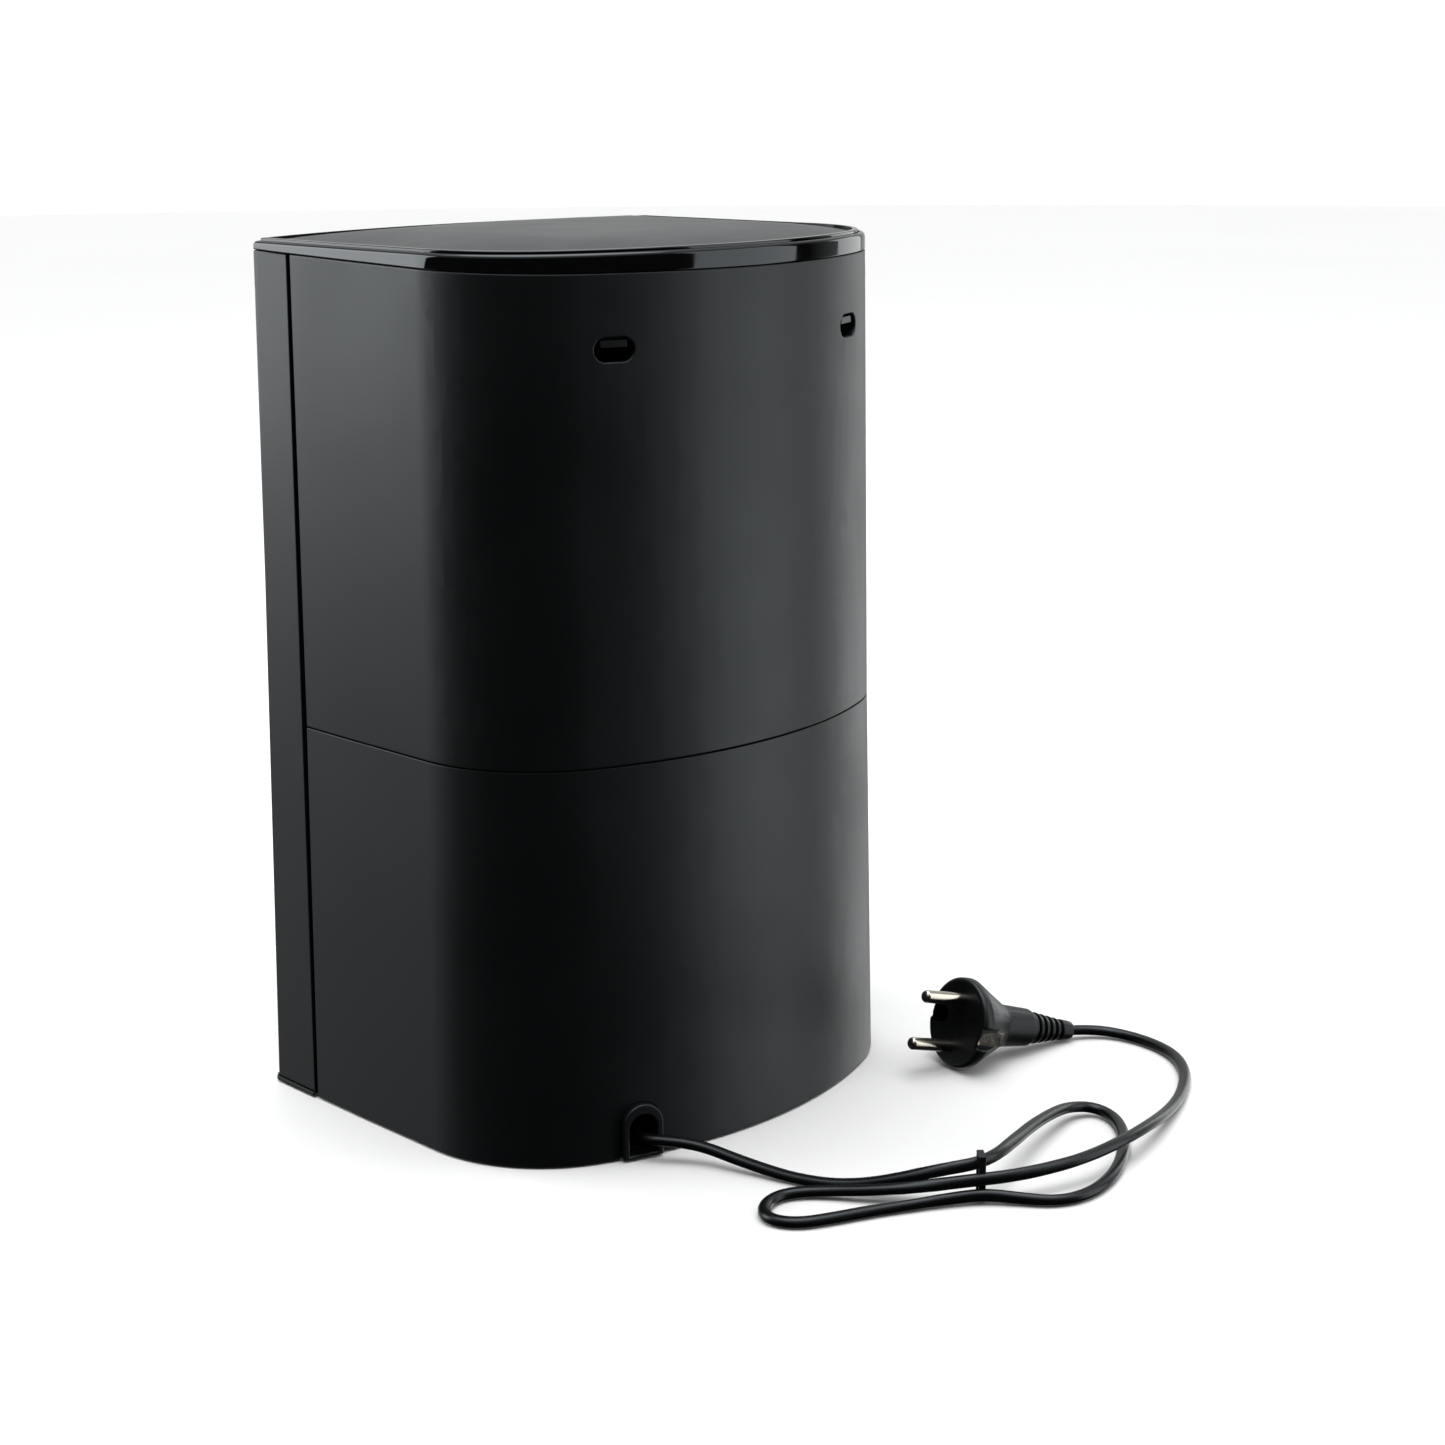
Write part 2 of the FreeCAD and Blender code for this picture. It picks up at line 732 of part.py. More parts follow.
def gear_blank(teeth, y0, y1, phase, x, z, bore):
    """Spur gear along Y with involute flanks; phase is the angle of one tooth."""
    pitch_r = gear_module * teeth / 2
    base_r = pitch_r * math.cos(math.radians(20))
    tip_r = pitch_r + 0.85 * gear_module
    root_r = pitch_r - 1.2 * gear_module
    half = math.pi / (2 * teeth) - backlash / 4 / pitch_r + involute(math.radians(20))
    points = []
    for tooth in range(teeth):
        middle = phase + 2 * math.pi * tooth / teeth
        flank = []
        for r in (root_r, max(base_r, root_r + 0.2), pitch_r, tip_r):
            opening = half - involute(math.acos(min(1.0, base_r / r))) if r > base_r else half
            flank.append((r, opening))
        for r, opening in flank:
            points.append((r, middle - opening))
        for r, opening in reversed(flank):
            points.append((r, middle + opening))
    corners = [V(x + r * math.cos(a), y1, z + r * math.sin(a)) for r, a in points]
    face = Part.Face(Part.makePolygon(corners + corners[:1]))
    solid = face.extrude(V(0, y0 - y1, 0))
    return solid.cut(rod(x, z, bore, y0 - 1, y1 + 1))


def mesh_phase(phase_a, teeth_a, teeth_b, line):
    """Phase of gear B that meshes with gear A; line is the angle from A to B."""
    pitch = math.pi * gear_module
    ra = gear_module * teeth_a / 2
    rb = gear_module * teeth_b / 2
    return line + math.pi - (ra * (phase_a - line) + pitch / 2) / rb


def layer_y(layer):
    return layer_front_y + layer * layer_pitch


phase_out = 0.0
phase_2_pinion = mesh_phase(phase_out, wheel_teeth, pinion_teeth, down_right)
phase_2_wheel = phase_2_pinion
phase_1_pinion = mesh_phase(phase_2_wheel, wheel_teeth, pinion_teeth, down_left)
phase_1_wheel = phase_1_pinion
phase_motor = mesh_phase(phase_1_wheel, wheel_teeth, pinion_teeth, down)
pinion_over = (pinion_width - gear_width) / 2
train_front = front_plate_y + plate_thick + end_gap
train_back = rear_plate_y - end_gap


def wheel(layer, phase, x, z, bore):
    y = layer_y(layer)
    return gear_blank(wheel_teeth, y, y + gear_width, phase, x, z, bore)


def pinion(layer, phase, x, z, bore):
    y = layer_y(layer)
    return gear_blank(pinion_teeth, y - pinion_over, y + gear_width + pinion_over, phase, x, z, bore)


def compound(layer, pinion_phase, wheel_phase, x, z):
    """Pinion in one layer and wheel in the next behind it, on one hub."""
    bore = pin_radius + run_clear
    hub = rod(x, z, hub_radius, train_front, train_back).cut(rod(x, z, bore, -far, far))
    return fuse([pinion(layer, pinion_phase, x, z, bore), wheel(layer + 1, wheel_phase, x, z, bore), hub])


nodes["compound_gear_2"] = compound(0, phase_2_pinion, phase_2_wheel, gear_2_x, gear_2_z)
nodes["compound_gear_1"] = compound(1, phase_1_pinion, phase_1_wheel, gear_1_x, gear_1_z)
nodes["output_gear"] = wheel(0, phase_out, 0, output_z, output_shaft_radius)
nodes["motor_pinion"] = pinion(2, phase_motor, motor_x, motor_z, motor_shaft_radius)
nodes["idler_pins"] = group([rod(x, z, pin_radius, front_plate_y, rear_plate_y + plate_thick)
                             for x, z in ((gear_1_x, gear_1_z), (gear_2_x, gear_2_z))])

# ---------------------------------------------------------------- gear plates
rear_face = rear_plate_y + plate_thick
front_plate = block(-plate_half_width, plate_half_width, front_plate_y, front_plate_y + plate_thick,
                    front_plate_low, plate_high)
rear_plate = block(-plate_half_width, plate_half_width, rear_plate_y, rear_face, rear_plate_low, plate_high)
pillars = []
gear_screws = []
for x in (-pillar_x, pillar_x):
    for z in (pillar_low_z, pillar_high_z):
        sleeve = rod(x, z, pillar_radius, front_plate_y + plate_thick, rear_plate_y)
        pillars.append(sleeve.cut(rod(x, z, gear_screw_radius + screw_clear, -far, far)))
        front_plate = front_plate.cut(rod(x, z, gear_screw_radius + screw_clear, -far, far))
        rear_plate = rear_plate.cut(rod(x, z, gear_screw_radius + screw_clear, -far, far))
        head = rod(x, z, gear_screw_head, rear_face, rear_face + gear_screw_head_thick)
        gear_screws.append(fuse([head, rod(x, z, gear_screw_radius, gear_screw_end_y, rear_face)]))
for x, z in ((gear_1_x, gear_1_z), (gear_2_x, gear_2_z)):
    front_plate = front_plate.cut(rod(x, z, pin_radius, -far, far))
    rear_plate = rear_plate.cut(rod(x, z, pin_radius, -far, far))
front_plate = front_plate.cut(rod(0, output_z, bush_radius, -far, far))
front_plate = front_plate.cut(rod(pivot_x, pivot_z, pivot_radius, -far, far))
rear_plate = rear_plate.cut(rod(0, output_z, bush_radius, -far, far))
rear_plate = rear_plate.cut(rod(motor_x, motor_z, motor_boss_radius + motor_boss_clear, -far, far))
nodes["front_gear_plate"] = front_plate
nodes["rear_gear_plate"] = rear_plate
nodes["gear_pillars"] = group(pillars)
nodes["gear_screws"] = group(gear_screws)


def flanged_bush(y0, y1, flange_y):
    """Bronze bush for the output shaft, with its flange standing at flange_y."""
    body = rod(0, output_z, bush_radius, y0, y1)
    flange = rod(0, output_z, bush_flange, flange_y, flange_y + bush_flange_thick)
    return fuse([body, flange]).cut(rod(0, output_z, output_shaft_radius + run_clear, -far, far))


nodes["output_bushes"] = group([
    flanged_bush(front_plate_y, front_plate_y + plate_thick, front_plate_y - bush_flange_thick),
    flanged_bush(rear_plate_y, rear_face, rear_face),
])

# ---------------------------------------------------------------- output shaft and drive wheel
drive_front_y = drive_wheel_back_y - drive_wheel_width
collar_back_y = pad_front_y - head_plate_thick - end_gap
output_shaft = fuse([
    rod(0, output_z, output_shaft_radius, drive_front_y, rear_face + bush_flange_thick + 1.0),
    rod(0, output_z, output_shaft_radius + shaft_collar, drive_wheel_back_y, collar_back_y),
])


def drive_wheel_shape():
    """Hardened wheel whose saw teeth grip the can's rim from below."""
    points = []
    for tooth in range(drive_wheel_teeth):
        turn = 2 * math.pi * tooth / drive_wheel_teeth
        points.append((drive_wheel_radius - drive_tooth_depth, turn))
        points.append((drive_wheel_radius, turn + 2 * math.pi * 0.55 / drive_wheel_teeth))
        points.append((drive_wheel_radius, turn + 2 * math.pi * 0.72 / drive_wheel_teeth))
    corners = [V(r * math.cos(a), drive_wheel_back_y, output_z + r * math.sin(a)) for r, a in points]
    face = Part.Face(Part.makePolygon(corners + corners[:1]))
    solid = face.extrude(V(0, -drive_wheel_width, 0))
    return solid.cut(rod(0, output_z, output_shaft_radius, -far, far))


nodes["drive_wheel"] = drive_wheel_shape()
screw_front_y = drive_front_y - drive_screw_thick
drive_screw = rod(0, output_z, drive_screw_head + 1.0, screw_front_y + 0.6, drive_front_y)
drive_screw = fuse([drive_screw, rod(0, output_z, drive_screw_head, screw_front_y, drive_front_y)])
driver_slot = block(-far, far, screw_front_y - 1, screw_front_y + 0.8, output_z - 0.5, output_z + 0.5)
nodes["drive_wheel_screw"] = drive_screw.cut(driver_slot)
nodes["output_shaft"] = output_shaft

# ---------------------------------------------------------------- motor
stack_back_y = stack_front_y + stack_length
mx, mz = motor_x, motor_z


def around_motor(x0, x1, y0, y1, z0, z1):
    return block(mx + x0, mx + x1, y0, y1, mz + z0, mz + z1)


window_x = stack_half_width - yoke
window_z = stack_half_height - yoke
stator = around_motor(-stack_half_width, stack_half_width, stack_front_y, stack_back_y,
                      -stack_half_height, stack_half_height)
stator = stator.cut(around_motor(-window_x, window_x, stack_front_y - 1, stack_back_y + 1,
                                 -window_z, window_z))
pole = around_motor(-pole_half_width, pole_half_width, stack_front_y, stack_back_y,
                    -stack_half_height + 1, stack_half_height - 1)
stator = fuse([stator, pole]).cut(rod(mx, mz, stator_bore, -far, far))
bolt_x = stack_half_width - yoke / 2
for side in (-1, 1):
    stator = stator.cut(rod(mx + side * bolt_x, mz, motor_bolt_radius + screw_clear, -far, far))
nodes["motor_stator"] = stator

coil_inner_x = pole_half_width + 0.3
coil_inner_y = 0.4
coil_high = window_z - 0.3
coils = []
for side in (1, -1):
    low, high = sorted((side * coil_low, side * coil_high))
    outer_x = coil_inner_x + coil_thick
    coil = around_motor(-outer_x, outer_x, stack_front_y - coil_inner_y - coil_thick,
                        stack_back_y + coil_inner_y + coil_thick, low, high)
    hole = around_motor(-coil_inner_x, coil_inner_x, stack_front_y - coil_inner_y,
                        stack_back_y + coil_inner_y, low - 1, high + 1)
    coil = coil.cut(hole)
    upright = [e for e in coil.Edges if abs(e.tangentAt(e.FirstParameter).z) > 0.9]
    corner_edges = [e for e in upright if abs(abs(e.CenterOfMass.x - mx) - outer_x) < 0.1]
    coils.append(coil.makeFillet(coil_corner, corner_edges).cut(rod(mx, mz, stator_bore + 0.2, -far, far)))
nodes["motor_coils"] = group(coils)

bridge_front_y = rear_face + bridge_gap
bridge_back_y = stack_back_y + (stack_front_y - bridge_front_y)
bearing_bore = rod(mx, mz, motor_shaft_radius + run_clear, -far, far)


def motor_bridge(y_outer, y_stack):
    """Bearing bridge across one end of the motor."""
    step = bridge_thick if y_stack > y_outer else -bridge_thick
    y0, y1 = sorted((y_outer, y_outer + step))
    leg0, leg1 = sorted((y_outer, y_stack))
    bar = around_motor(-stack_half_width, stack_half_width, y0, y1, -bridge_half_height, bridge_half_height)
    legs = [around_motor(-stack_half_width, -window_x, leg0, leg1, -bridge_half_height, bridge_half_height),
            around_motor(window_x, stack_half_width, leg0, leg1, -bridge_half_height, bridge_half_height)]
    cup0, cup1 = sorted((y_outer, y_outer + 2 * step))
    whole = fuse([bar, rod(mx, mz, motor_boss_radius, cup0, cup1)] + legs).cut(bearing_bore)
    for side in (-1, 1):
        whole = whole.cut(rod(mx + side * bolt_x, mz, motor_bolt_radius + screw_clear, -far, far))
    return whole


nodes["motor_bridge_front"] = motor_bridge(bridge_front_y, stack_front_y)
nodes["motor_bridge_rear"] = motor_bridge(bridge_back_y, stack_back_y)
motor_bolts = []
for side in (-1, 1):
    x = mx + side * bolt_x
    head = rod(x, mz, motor_bolt_head, bridge_back_y, bridge_back_y + motor_bolt_head_thick)
    shank = rod(x, mz, motor_bolt_radius, bridge_front_y, bridge_back_y)
    motor_bolts.append(fuse([head, shank]))
nodes["motor_bolts"] = group(motor_bolts)

rotor = rod(mx, mz, stator_bore - air_gap, stack_front_y, stack_back_y)
nodes["motor_rotor"] = rotor.cut(rod(mx, mz, motor_shaft_radius, -far, far))
pinion_front_y = layer_y(2) - pinion_over
fan_front_y = bridge_back_y + fan_gap
fan_back_y = fan_front_y + fan_depth
nodes["motor_shaft"] = rod(mx, mz, motor_shaft_radius, pinion_front_y, fan_back_y)
fan = [rod(mx, mz, fan_radius, fan_front_y, fan_front_y + fan_disc),
       rod(mx, mz, fan_hub, fan_front_y, fan_back_y)]
for i in range(fan_blades):
    blade = block(mx + fan_hub - 1.0, mx + fan_radius - 0.5, fan_front_y + 1.0, fan_back_y,
                  mz - blade_half, mz + blade_half)
    blade.rotate(V(mx, 0, mz), Y_AXIS, 360.0 * i / fan_blades)
    fan.append(blade)
nodes["cooling_fan"] = fuse(fan).cut(rod(mx, mz, motor_shaft_radius, -far, far))

# ---------------------------------------------------------------- head plate
head = block(-pad_half_width + head_plate_margin, pad_half_width - head_plate_margin,
             head_front_y, pad_front_y, pad_low + head_plate_margin, pad_high - head_plate_margin)
head_corners = [e for e in head.Edges if abs(e.tangentAt(e.FirstParameter).y) > 0.9]
head = head.makeFillet(head_plate_corner, head_corners)
head_screws = []
screw_x = pad_half_width - head_screw_inset
screw_z_low = pad_low + head_screw_inset
screw_z_high = pad_high - head_screw_inset
for x in (-screw_x, screw_x):
    for z in (screw_z_low, screw_z_high):
        cap = rod(x, z, head_screw_head, head_front_y - head_screw_thick, head_front_y)
        cap = cap.makeChamfer(0.6, [e for e in cap.Edges if e.CenterOfMass.y < head_front_y - 1.5])
        shank = rod(x, z, gear_screw_radius, head_front_y, pad_front_y + head_screw_grip)
        cross = block(x - 2.2, x + 2.2, -far, head_front_y - 1.0, z - 0.4, z + 0.4)
        cross = cross.fuse(block(x - 0.4, x + 0.4, -far, head_front_y - 1.0, z - 2.2, z + 2.2))
        head_screws.append(fuse([cap, shank]).cut(cross))
        head = head.cut(rod(x, z, gear_screw_radius + screw_clear, -far, far))
        panel = panel.cut(rod(x, z, gear_screw_radius, -far, pad_front_y + head_screw_grip + 0.5))
shaft_way = output_shaft_radius + 0.8
head = head.cut(rod(0, output_z, shaft_way, -far, far))
panel = panel.cut(rod(0, output_z, bush_flange + 0.5, -far, layer_front_y))
head = head.cut(rod(pivot_x, pivot_z, pivot_radius, -far, far))
panel = panel.cut(rod(pivot_x, pivot_z, pivot_radius, -far, layer_front_y))
nodes["head_plate"] = head
nodes["head_screws"] = group(head_screws)

# ---------------------------------------------------------------- can guide
guide_low = output_z - drive_wheel_radius - guide_drop
guide_front_y = head_front_y - guide_proud
guide = block(guide_left, guide_right, guide_front_y, head_front_y, guide_low, guide_low + guide_height)
guide = guide.makeFillet(2.0, [e for e in guide.Edges if e.CenterOfMass.y < guide_front_y + 0.5])
nodes["can_guide"] = guide

# ---------------------------------------------------------------- lever
pin_head_y = lever_front_y - 1.3
pivot_pin = fuse([
    rod(pivot_x, pivot_z, pivot_radius, pin_head_y, front_plate_y + plate_thick),
    rod(pivot_x, pivot_z, pivot_head_radius, pin_head_y - pivot_head_thick, pin_head_y + 1.0),
])
nodes["lever_pivot_pin"] = pivot_pin

end_z = pivot_z + lever_rise
lever_low_x = -20.0
lever_low_z = output_z + drive_wheel_radius + lever_over_drive
arm_corners = [
    V(pivot_x, lever_back_y, pivot_z - lever_half_height),
    V(pivot_x, lever_back_y, pivot_z + lever_half_height + lever_crown),
    V(lever_neck_half, lever_back_y, magnet_pin_z + 1.0),
    V(-lever_neck_half, lever_back_y, magnet_pin_z + 1.0),
    V(lever_end_x, lever_back_y, end_z + lever_half_height),
    V(lever_end_x, lever_back_y, end_z - lever_half_height),
    V(lever_low_x, lever_back_y, lever_low_z),
    V(lever_neck_half, lever_back_y, lever_low_z),
]
arm_face = Part.Face(Part.makePolygon(arm_corners + arm_corners[:1]))
arm = arm_face.extrude(V(0, -lever_thick, 0))
hub = rod(pivot_x, pivot_z, lever_hub_radius, lever_front_y, lever_hub_back_y)
spigot = block(lever_end_x - spigot_length, lever_end_x + 1, lever_front_y, lever_back_y,
               end_z - spigot_half, end_z + spigot_half)
ears = []
for side in (-1, 1):
    inner = side * (magnet_hub_half + end_gap)
    outer = side * (magnet_hub_half + end_gap + ear_thick)
    ear = block(min(inner, outer), max(inner, outer), magnet_pin_y, lever_front_y + 0.5,
                magnet_pin_z - ear_radius, magnet_pin_z + 1.0)
    nose = Part.makeCylinder(ear_radius, ear_thick, V(min(inner, outer), magnet_pin_y, magnet_pin_z), X_AXIS)
    ears.append(fuse([ear, nose]))
lever = fuse([arm, hub, spigot] + ears)
lever = lever.cut(rod(pivot_x, pivot_z, pivot_radius + run_clear, -far, far))
lever = lever.cut(rod(0, cutter_z, cutter_axle_radius, -far, far))
ear_reach = magnet_hub_half + end_gap + ear_thick
magnet_pin = Part.makeCylinder(magnet_pin_radius, 2 * ear_reach,
                               V(-ear_reach, magnet_pin_y, magnet_pin_z), X_AXIS)
lever = lever.cut(magnet_pin)
nodes["cutter_lever"] = lever
nodes["magnet_pin"] = magnet_pin

grip_x = lever_end_x - grip_length
grip = block(grip_x, lever_end_x - 0.2, lever_front_y - grip_proud, lever_back_y, end_z - grip_height / 2,
             end_z + grip_height / 2)
long_edges = [e for e in grip.Edges if abs(e.tangentAt(e.FirstParameter).x) > 0.9]
grip = grip.makeFillet(grip_round, long_edges)
grip = grip.cut(spigot)
nodes["lever_grip"] = grip

# ---------------------------------------------------------------- cutter
cutter_front_y = cutter_back_y - cutter_thick
cutter = rod(0, cutter_z, cutter_radius - cutter_edge, cutter_front_y, cutter_back_y)
edge = Part.makeCone(cutter_radius, cutter_radius - cutter_edge, cutter_thick,
                     V(0, cutter_back_y, cutter_z), V(0, -1, 0))
cutter = fuse([cutter, edge]).cut(rod(0, cutter_z, cutter_axle_radius + run_clear, -far, far))
nodes["cutter_wheel"] = cutter
axle_head_y = cutter_front_y - end_gap
cutter_axle = fuse([
    rod(0, cutter_z, cutter_axle_radius, axle_head_y - cutter_head_thick, lever_back_y - 0.2),
    rod(0, cutter_z, cutter_head_radius, axle_head_y - cutter_head_thick, axle_head_y),
])
axle_slot = block(-far, far, axle_head_y - 3.0, axle_head_y - 1.0, cutter_z - 0.6, cutter_z + 0.6)
nodes["cutter_axle"] = cutter_axle.cut(axle_slot)

# ---------------------------------------------------------------- magnet on its swinging arm
cup_top = magnet_low + magnet_thick + magnet_cup_roof
arm_side = [
    V(-magnet_neck_half, magnet_pin_y, magnet_pin_z + 3.0),
    V(-magnet_neck_half, magnet_y - 2.0, cup_top + 4.0),
    V(-magnet_neck_half, magnet_y - 2.0, cup_top - 0.5),
    V(-magnet_neck_half, magnet_y + 8.0, cup_top - 0.5),
    V(-magnet_neck_half, magnet_pin_y, magnet_pin_z - 3.0),
]
neck = Part.Face(Part.makePolygon(arm_side + arm_side[:1])).extrude(V(2 * magnet_neck_half, 0, 0))
arm_hub = Part.makeCylinder(magnet_hub_radius, 2 * magnet_hub_half,
                            V(-magnet_hub_half, magnet_pin_y, magnet_pin_z), X_AXIS)
cup = post(0, magnet_y, magnet_radius + magnet_cup_wall, magnet_low + 1.0, cup_top)
cup = cup.cut(post(0, magnet_y, magnet_radius, magnet_low, magnet_low + magnet_thick))
magnet_arm = fuse([neck, arm_hub, cup])
pin_way = Part.makeCylinder(magnet_pin_radius + run_clear, 4 * ear_reach,
                            V(-2 * ear_reach, magnet_pin_y, magnet_pin_z), X_AXIS)
nodes["magnet_arm"] = magnet_arm.cut(pin_way)
nodes["lid_magnet"] = post(0, magnet_y, magnet_radius, magnet_low, magnet_low + magnet_thick)

# ---------------------------------------------------------------- switch under the lever
switch_back_y = head_front_y
housing = block(switch_x - switch_half_width, switch_x + switch_half_width, switch_front_y,
                switch_back_y, switch_low, switch_high)
front_edges = [e for e in housing.Edges if abs(e.CenterOfMass.y - switch_front_y) < 0.1]
housing = housing.makeFillet(2.5, front_edges)
hollow = block(switch_x - switch_half_width + switch_wall, switch_x + switch_half_width - switch_wall,
               switch_front_y + switch_wall, switch_back_y - switch_wall,
               switch_low + switch_wall, switch_high - switch_wall)
housing = housing.cut(hollow)
housing = housing.cut(post(switch_x, plunger_y, plunger_radius + 0.1, switch_high - 5, switch_high + 5))
nodes["switch_housing"] = housing
under_slope = (end_z - lever_half_height - lever_low_z) / (lever_end_x - lever_low_x)
plunger_top = lever_low_z + under_slope * (switch_x + plunger_radius - lever_low_x) - plunger_gap
collar_top = switch_high - switch_wall - end_gap
tip_z = micro_top + plunger_travel + 0.5
nodes["switch_plunger"] = fuse([
    post(switch_x, plunger_y, plunger_radius, tip_z, plunger_top),
    post(switch_x, plunger_y, plunger_collar, collar_top - collar_thick, collar_top),
])
nodes["micro_switch"] = block(switch_x - micro_half_x, switch_x + micro_half_x, plunger_y - micro_half_y,
                              plunger_y + micro_half_y, switch_low + switch_wall, micro_top)


def coil_spring(x, y, radius, z0, z1):
    """Compression spring standing on z0; its wire runs in short bends."""
    points = []
    steps = spring_turns * spring_bends
    for i in range(steps + 1):
        angle = 2 * math.pi * i / spring_bends
        z = z0 + spring_wire + (z1 - z0 - 2 * spring_wire) * i / steps
        points.append(V(x + radius * math.cos(angle), y + radius * math.sin(angle), z))
    return tube(points, 2 * spring_wire, "plunger spring")


nodes["plunger_spring"] = coil_spring(switch_x, plunger_y, plunger_radius + spring_room, micro_top + 0.1,
                                      collar_top - collar_thick - 0.1)

# ---------------------------------------------------------------- electrics on the base
nodes["ballast"] = block(-ballast_half_width, ballast_half_width, ballast_front_y, ballast_back_y,
                         base_top, base_top + ballast_height)
terminal_back_y = body_depth - terminal_set_back
terminal = block(terminal_x - terminal_half_width, terminal_x + terminal_half_width,
                 terminal_back_y - terminal_depth, terminal_back_y, base_top, base_top + terminal_height)
for i in (-1, 0, 1):
    terminal = terminal.cut(post(terminal_x + i * terminal_pitch, terminal_back_y - terminal_depth / 2,
                                 terminal_hole, base_top + terminal_height - 4.0, far))
nodes["terminal_block"] = terminal
nodes["base_plate"] = base_plate.Solids[0]
nodes["front_panel"] = panel.Solids[0]


# ---------------------------------------------------------------- cord
def plug_frame(shape):
    """Move a shape drawn with its face at the origin, pins along +X, to the floor."""
    shape = shape.copy()
    shape.rotate(V(0, 0, 0), X_AXIS, plug_roll)
    shape.rotate(V(0, 0, 0), Y_AXIS, -plug_tilt)
    shape.rotate(V(0, 0, 0), Z_AXIS, plug_heading)
    shape.translate(plug_face)
    return shape


def turned(profile):
    """Solid of revolution about X from (x, radius) points."""
    corners = [V(profile[0][0], 0, 0)] + [V(x, r, 0) for x, r in profile] + [V(profile[-1][0], 0, 0)]
    face = Part.Face(Part.makePolygon(corners + corners[:1]))
    return face.revolve(V(0, 0, 0), X_AXIS, 360)


plug_tail = plug_grip + relief_length
body_profile = [(0, plug_radius - 1.0), (-1.0, plug_radius), (-plug_rim, plug_radius),
                (-plug_rim - 7.0, plug_radius - 4.0), (-plug_cone, plug_grip_radius + 1.0),
                (-plug_grip, plug_grip_radius)]
plug_body = turned(body_profile)
for side in (-1, 1):
    notch = block(-plug_notch_depth, 1.0, side * plug_radius - plug_notch_half,
                  side * plug_radius + plug_notch_half, -4.0, 4.0)
    plug_body = plug_body.cut(notch)
earth_hole = Part.makeCylinder(earth_hole_radius, plug_notch_depth,
                               V(1.0 - plug_notch_depth, -earth_hole_offset, 0), X_AXIS)
plug_body = plug_body.cut(earth_hole)
nodes["plug_body"] = plug_frame(plug_body.Solids[0])
pins = []
clips = []
for side in (-1, 1):
    pin = Part.makeCylinder(plug_pin_radius, plug_pin_length, V(0, 0, side * plug_pin_pitch / 2), X_AXIS)
    tip = [e for e in pin.Edges if e.CenterOfMass.x > plug_pin_length - 0.1]
    pins.append(plug_frame(pin.makeFillet(1.6, tip)))
    clip_in = side * (plug_radius - plug_notch_half)
    clip_out = side * (plug_radius - plug_notch_half + earth_clip_thick)
    clips.append(plug_frame(block(-11.0, -0.5, min(clip_in, clip_out), max(clip_in, clip_out), -2.5, 2.5)))
nodes["plug_pins"] = group(pins)
nodes["plug_earth_clips"] = group(clips)

relief_profile = [(-plug_grip, plug_grip_radius - 0.8)]
rib_pitch = (relief_length - 6.0) / relief_ribs
for i in range(relief_ribs):
    x = -plug_grip - 2.0 - i * rib_pitch
    share = (i + 0.5) / (relief_ribs + 1)
    r = plug_grip_radius - 0.8 - share * (plug_grip_radius - 0.8 - relief_end_radius)
    relief_profile += [(x, r), (x - 0.2, r - 1.3), (x - rib_pitch * 0.4, r - 1.3), (x - rib_pitch * 0.45, r)]
relief_profile += [(-plug_tail + 2.0, relief_end_radius + 0.4), (-plug_tail, relief_end_radius)]
nodes["plug_strain_relief"] = plug_frame(turned(relief_profile))

pin_way = V(math.cos(math.radians(plug_tilt)) * math.cos(math.radians(plug_heading)),
            math.cos(math.radians(plug_tilt)) * math.sin(math.radians(plug_heading)),
            math.sin(math.radians(plug_tilt)))
cord_end = plug_face - pin_way * plug_tail
gland_angle = back_angle(arch_x)
gland_out = V(math.cos(gland_angle), math.sin(gland_angle), 0)
gland_point = at_height(polar(V(0, back_centre_y, 0), back_radius, gland_angle), cord_z)
cord_start = gland_point - gland_out * arch_depth
nodes["mains_cord"] = tube([cord_start] + cord_route + [cord_end], cord_width, "cord")
lead_start = gland_point - gland_out * (arch_depth + arch_plug_thick)
lead_bend = V(terminal_x, terminal_back_y + 6.5, cord_z)
lead_middle = lead_start - gland_out * 8.0
lead_route = [lead_start, lead_middle, lead_bend, V(terminal_x, terminal_back_y, cord_z)]
nodes["inner_lead"] = tube(lead_route, cord_width, "inner lead")

tie_along = (tie_exit - tie_entry).normalize()
tie_centre = (tie_entry + tie_exit) * 0.5
tie_in = cord_width / 2 + tie_clear
tie_out = tie_in + tie_band
tie_shape = block(-tie_width / 2, tie_width / 2, -tie_out, tie_out, tie_low - tie_out, tie_high + tie_out)
tie_shape = tie_shape.cut(block(-tie_width, tie_width, -tie_in, tie_in, tie_low - tie_in, tie_high + tie_in))
tie_shape.rotate(V(0, 0, 0), Z_AXIS, math.degrees(math.atan2(tie_along.y, tie_along.x)))
tie_shape.translate(V(tie_centre.x, tie_centre.y, 0))
nodes["cord_tie"] = tie_shape

# ---------------------------------------------------------------- to the row's origin
cord_names = ("mains_cord", "cord_tie", "plug_body", "plug_pins", "plug_earth_clips", "plug_strain_relief")
low_y = min(s.optimalBoundingBox().YMin for n, s in nodes.items() if n not in cord_names)
high_y = max(s.optimalBoundingBox().YMax for n, s in nodes.items() if n not in cord_names)
middle_y = (low_y + high_y) / 2
print("middle of the footprint", round(middle_y, 3), "y from", round(low_y, 3), "to", round(high_y, 3))
print("motor", round(mx, 3), round(mz, 3), "gear 1", round(gear_1_x, 3), round(gear_1_z, 3),
      "gear 2", round(gear_2_x, 3), round(gear_2_z, 3))

